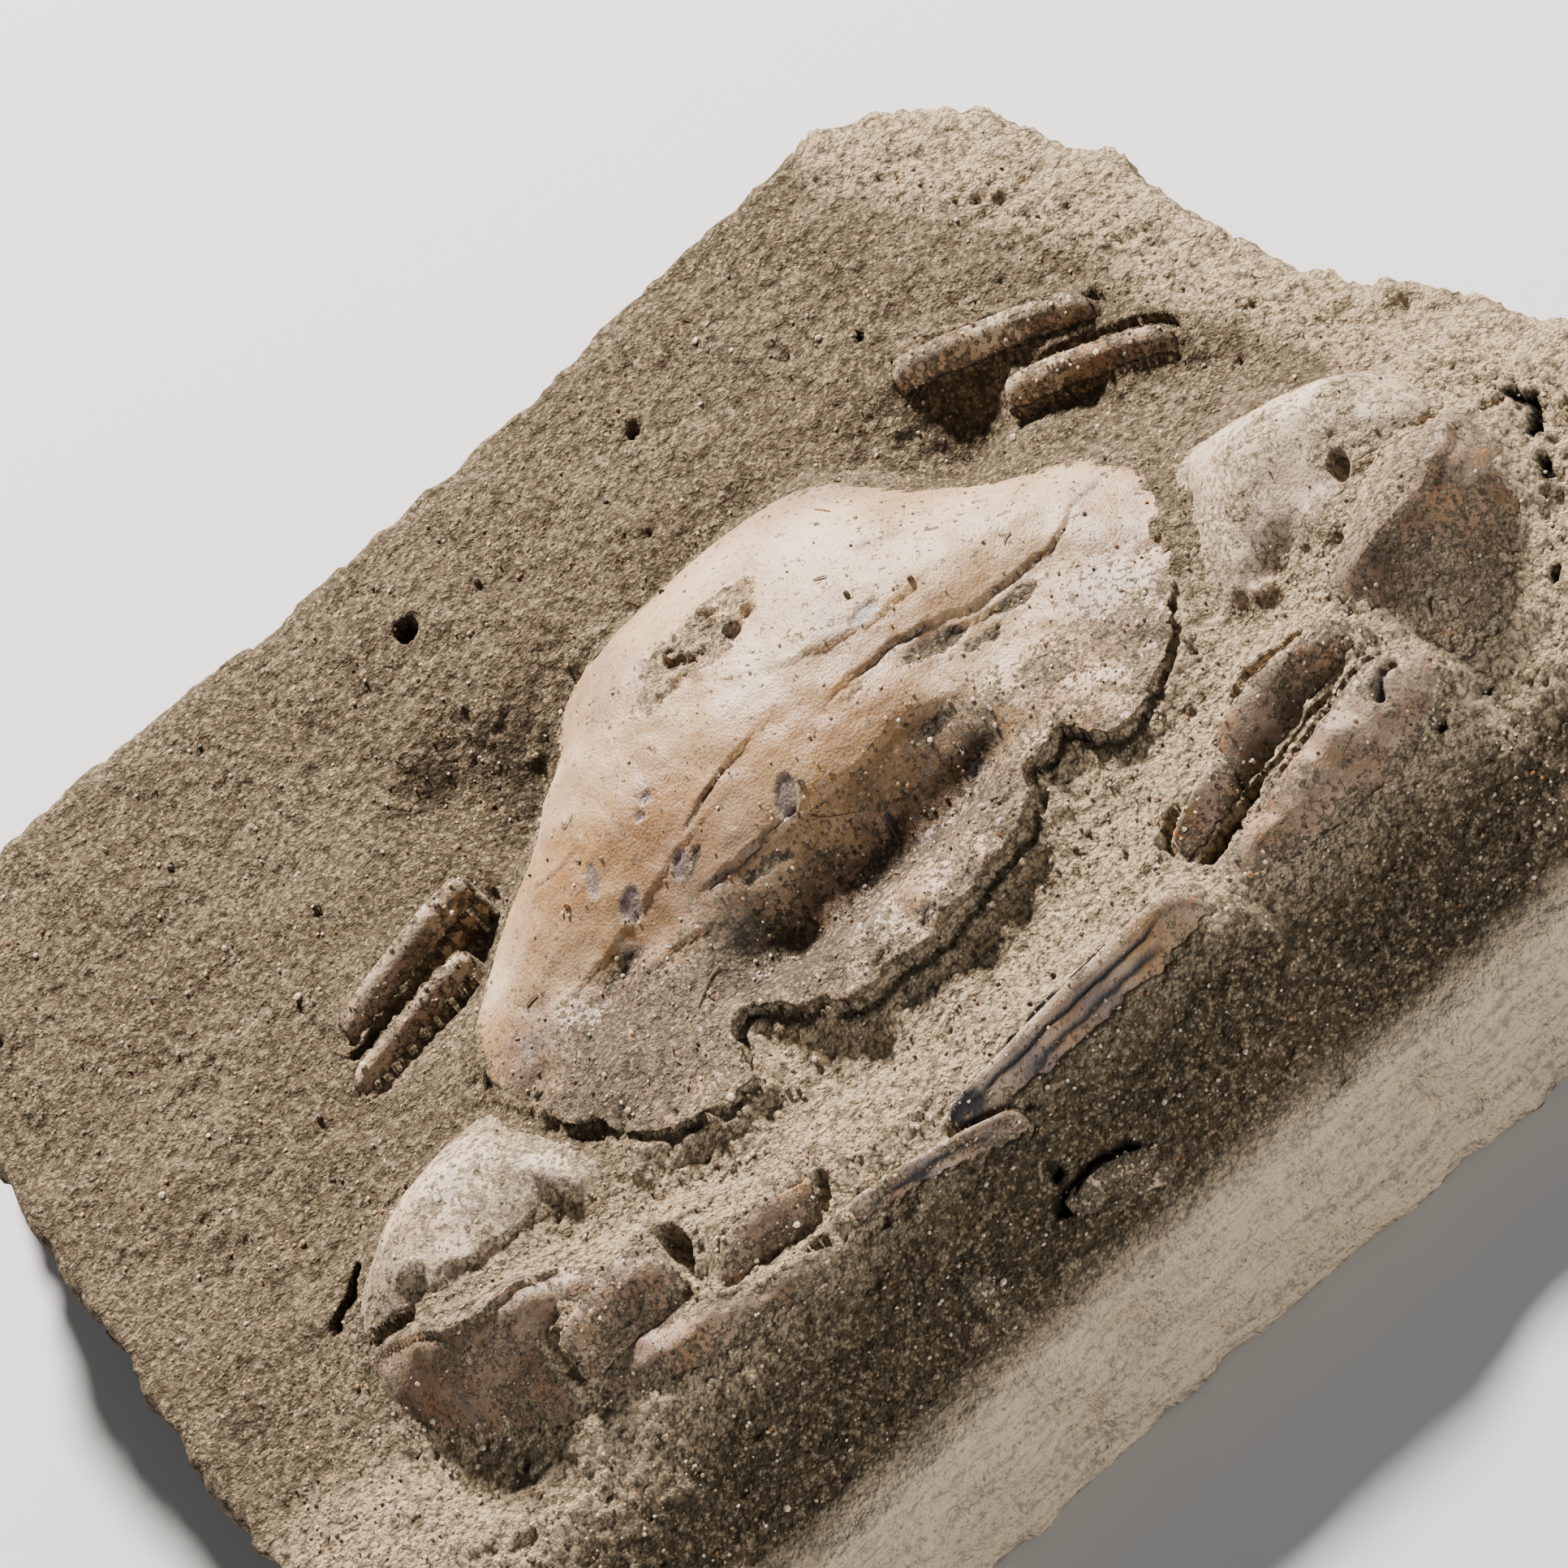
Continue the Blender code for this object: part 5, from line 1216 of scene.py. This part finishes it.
def grainMaterial(look):
    n = Nodes("loose_sand")
    colours = look["colours"]
    colour = n.mix(n.painted("tan"), colours["pale"], colours["tan"])
    for name in ("brown", "rust"):
        colour = n.mix(n.painted(name), colour, colours[name])
    colour = n.tint(colour, colours["brown"], n.noise(0.2, 2, 0.5), 0.42, 0.3, 0.4)
    n.link(colour, n.shader.inputs["Base Color"])
    n.shader.inputs["Roughness"].default_value = 0.5
    return n.material


def scatterGrains(look):
    lot = random.Random(11)
    deselect()
    bpy.ops.mesh.primitive_ico_sphere_add(subdivisions=1, radius=1)
    grains = bpy.context.active_object
    grains.name = grains.data.name = "loose_grains"
    ball = np.array([v.co[:] for v in grains.data.vertices])
    ballFaces = np.array([tuple(f.vertices) for f in grains.data.polygons])
    sources = [(crust, look["crustShare"]), (frontCrust, look["frontShare"]), (fossils[0], look["carapaceShare"])]
    sources += [(fossil, look["piecesShare"] / len(fossils[1:])) for fossil in fossils[1:]]
    points, faces, tones = [], [], []
    for source, part in sources:
        polygons = source.data.polygons
        for _ in range(int(look["tries"] * part)):
            face = polygons[lot.randrange(len(polygons))]
            place = np.array(face.center) * 1000 - crabZero
            turnedUp = face.normal.z
            onFront = place[1] < -6 + lot.uniform(-10, 4)
            if turnedUp < 0.25 or (source == fossils[0] and not onFront and lot.random() < 0.8):
                continue
            size = lot.uniform(*look["radius"]) * (1.7 if lot.random() < 0.04 else 1.0)
            stretch = np.array([lot.uniform(0.7, 1.2), lot.uniform(0.7, 1.2), lot.uniform(0.55, 0.9)])
            angle = lot.uniform(0, 6.28)
            turn = np.array(((math.cos(angle), -math.sin(angle), 0), (math.sin(angle), math.cos(angle), 0),
                             (0, 0, 1)))
            shape = (ball * stretch * np.array([[lot.uniform(0.8, 1.15)] for _ in ball])) @ turn * size
            faces.append(ballFaces + len(points) * len(ball))
            points.append(shape + place + np.array((0, 0, 0.35 * size)))
            pickTone, tone = lot.random(), 0
            while tone < 3 and pickTone > look["tones"][tone][0]:
                pickTone -= look["tones"][tone][0]
                tone += 1
            tones += [tone] * len(ball)
    grains.data.clear_geometry()
    grains.data.from_pydata(((np.concatenate(points) + crabZero) / 1000).tolist(), [], np.concatenate(faces).tolist())
    tones = np.array(tones)
    for index, name in enumerate(("tan", "brown", "rust"), start=1):
        paint(grains, name, 1.0 * (tones == index))
    grains.data.materials.append(grainMaterial(look))
    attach(grains, "root")
    print("grains", len(points), "of", len(grains.data.polygons), "faces")


scatterGrains(grainLook)

# Fine root fibres and threads that lie on the shell, from one bent line each.
fibreLook = {
    "radius": 0.07,      # millimetres
    "lift": 0.12,
    "colour": (0.30, 0.14, 0.06),
    "lines": [[(-2.5, -10.6), (-1.6, -12.1), (-0.1, -12.7), (1.6, -13.3)], [(3, -14), (3.1, -15), (2.7, -16.9)],
              [(-0.3, -19.3), (0.7, -19), (1, -20.2)], [(15.5, 20.1), (16.2, 18.6), (16.6, 17.5)],
              [(22.6, 6.6), (23.1, 6.1), (23.8, 5.8)], [(11.8, 8.7), (12.4, 8.5), (13, 8.1)],
              [(-33.9, -2.5), (-33.1, -2.3), (-32.4, -2.6)], [(-21.1, -17.5), (-18.5, -15.5), (-17.2, -15.1)],
              [(-25.3, -19.1), (-25.9, -20.1), (-25.6, -21.2)], [(27.6, -0.2), (28.1, 0.4), (28.7, 0.5)]],
}


def layFibres(look):
    tree = treeOf(fossils[0].data)
    fibres = []
    for line in look["lines"]:
        deselect()
        bpy.ops.curve.primitive_nurbs_path_add(radius=0.001)
        fibre = bpy.context.active_object
        spline = fibre.data.splines[0]
        t = np.linspace(0, len(line) - 1, len(spline.points))
        for point, share in zip(spline.points, t):
            x = np.interp(share, range(len(line)), [p[0] for p in line])
            y = np.interp(share, range(len(line)), [p[1] for p in line])
            place = np.array((x, y, 0)) + crabZero
            hit = tree.ray_cast((place[0] / 1000, place[1] / 1000, 0.06), (0, 0, -1))[0]
            height = hit.z + look["lift"] / 1000 * (1.6 if 0.5 < share < len(line) - 1.5 else 1)
            point.co = (place[0] / 1000, place[1] / 1000, height, 1)
        fibre.location = (0, 0, 0)
        fibre.data.bevel_depth = look["radius"] / 1000
        fibre.data.bevel_resolution = 1
        fibre.data.resolution_u = 4
        fibres.append(fibre)
    deselect()
    for fibre in fibres:
        fibre.select_set(True)
    bpy.context.view_layer.objects.active = fibres[0]
    bpy.ops.object.convert(target="MESH")
    bpy.ops.object.join()
    fibres = bpy.context.active_object
    fibres.name = fibres.data.name = "fibres"
    n = Nodes("dry_fibre")
    colour = n.mix(n.noise(1.5, 2), look["colour"], tuple(c * 0.35 for c in look["colour"]))
    n.link(colour, n.shader.inputs["Base Color"])
    n.shader.inputs["Roughness"].default_value = 0.6
    fibres.data.materials.append(n.material)
    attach(fibres, "root")
    print("fibres", len(fibres.data.polygons), "faces")


layFibres(fibreLook)

# Camera, light and floor.
studio = {
    "target": (-0.00207, 0.00266, 0.028),
    "right": (0.751, -0.428, -0.503),
    "up": (0.657, 0.566, 0.498),
    "distance": 3.5,
    "sensor": 36,
    "frameWidth": 0.14505,      # what the photograph spans, in metres
    "key": {"direction": (0.19, 0.78, 0.59), "distance": 1.3, "size": 0.16, "power": 91, "colour": (1.0, 0.95, 0.87)},
    "frontFill": {"direction": (0.25, -0.96, 0.05), "distance": 1.0, "size": 0.35, "power": 9.5,
                  "colour": (0.96, 0.98, 1.0)},
    "skyColour": (0.92, 0.96, 1.0),
    "skyStrength": 0.21,
    "floorColour": (0.58, 0.58, 0.58),
    "floorSize": 6,
}

target = Vector(studio["target"])
right = Vector(studio["right"]).normalized()
up = Vector(studio["up"]).normalized()
back = right.cross(up).normalized()
up = back.cross(right)
cameraData = bpy.data.cameras.new("photo_camera")
cameraData.sensor_width = studio["sensor"]
cameraData.lens = studio["sensor"] * studio["distance"] / studio["frameWidth"]
cameraData.clip_end = 20
camera = bpy.data.objects.new("photo_camera", cameraData)
bpy.context.scene.collection.objects.link(camera)
turn = Matrix((right, up, back)).transposed().to_4x4()
camera.matrix_world = Matrix.Translation(target + back * studio["distance"]) @ turn
bpy.context.scene.camera = camera


def areaLight(name, direction, distance, size, power, colour):
    data = bpy.data.lights.new(name, "AREA")
    data.shape = "DISK"
    data.size = size
    data.energy = power
    data.color = colour
    light = bpy.data.objects.new(name, data)
    bpy.context.scene.collection.objects.link(light)
    way = Vector(direction).normalized()
    light.location = target + way * distance
    light.rotation_mode = "QUATERNION"
    light.rotation_quaternion = way.to_track_quat("Z", "Y")


areaLight("key", **studio["key"])
areaLight("front_fill", **studio["frontFill"])

world = bpy.data.worlds.new("soft_room")
world.use_nodes = True
sky = world.node_tree.nodes["Background"]
sky.inputs["Color"].default_value = (*studio["skyColour"], 1)
sky.inputs["Strength"].default_value = studio["skyStrength"]
bpy.context.scene.world = world

deselect()
bpy.ops.mesh.primitive_plane_add(size=studio["floorSize"], location=(0, 0, 0))
floor = bpy.context.active_object
floor.name = "pale_floor"
paper = bpy.data.materials.new("pale_paper")
paper.use_nodes = True
paperShader = paper.node_tree.nodes["Principled BSDF"]
paperShader.inputs["Base Color"].default_value = (*studio["floorColour"], 1)
paperShader.inputs["Roughness"].default_value = 0.85
floor.data.materials.append(paper)
print("camera, light and floor ready")
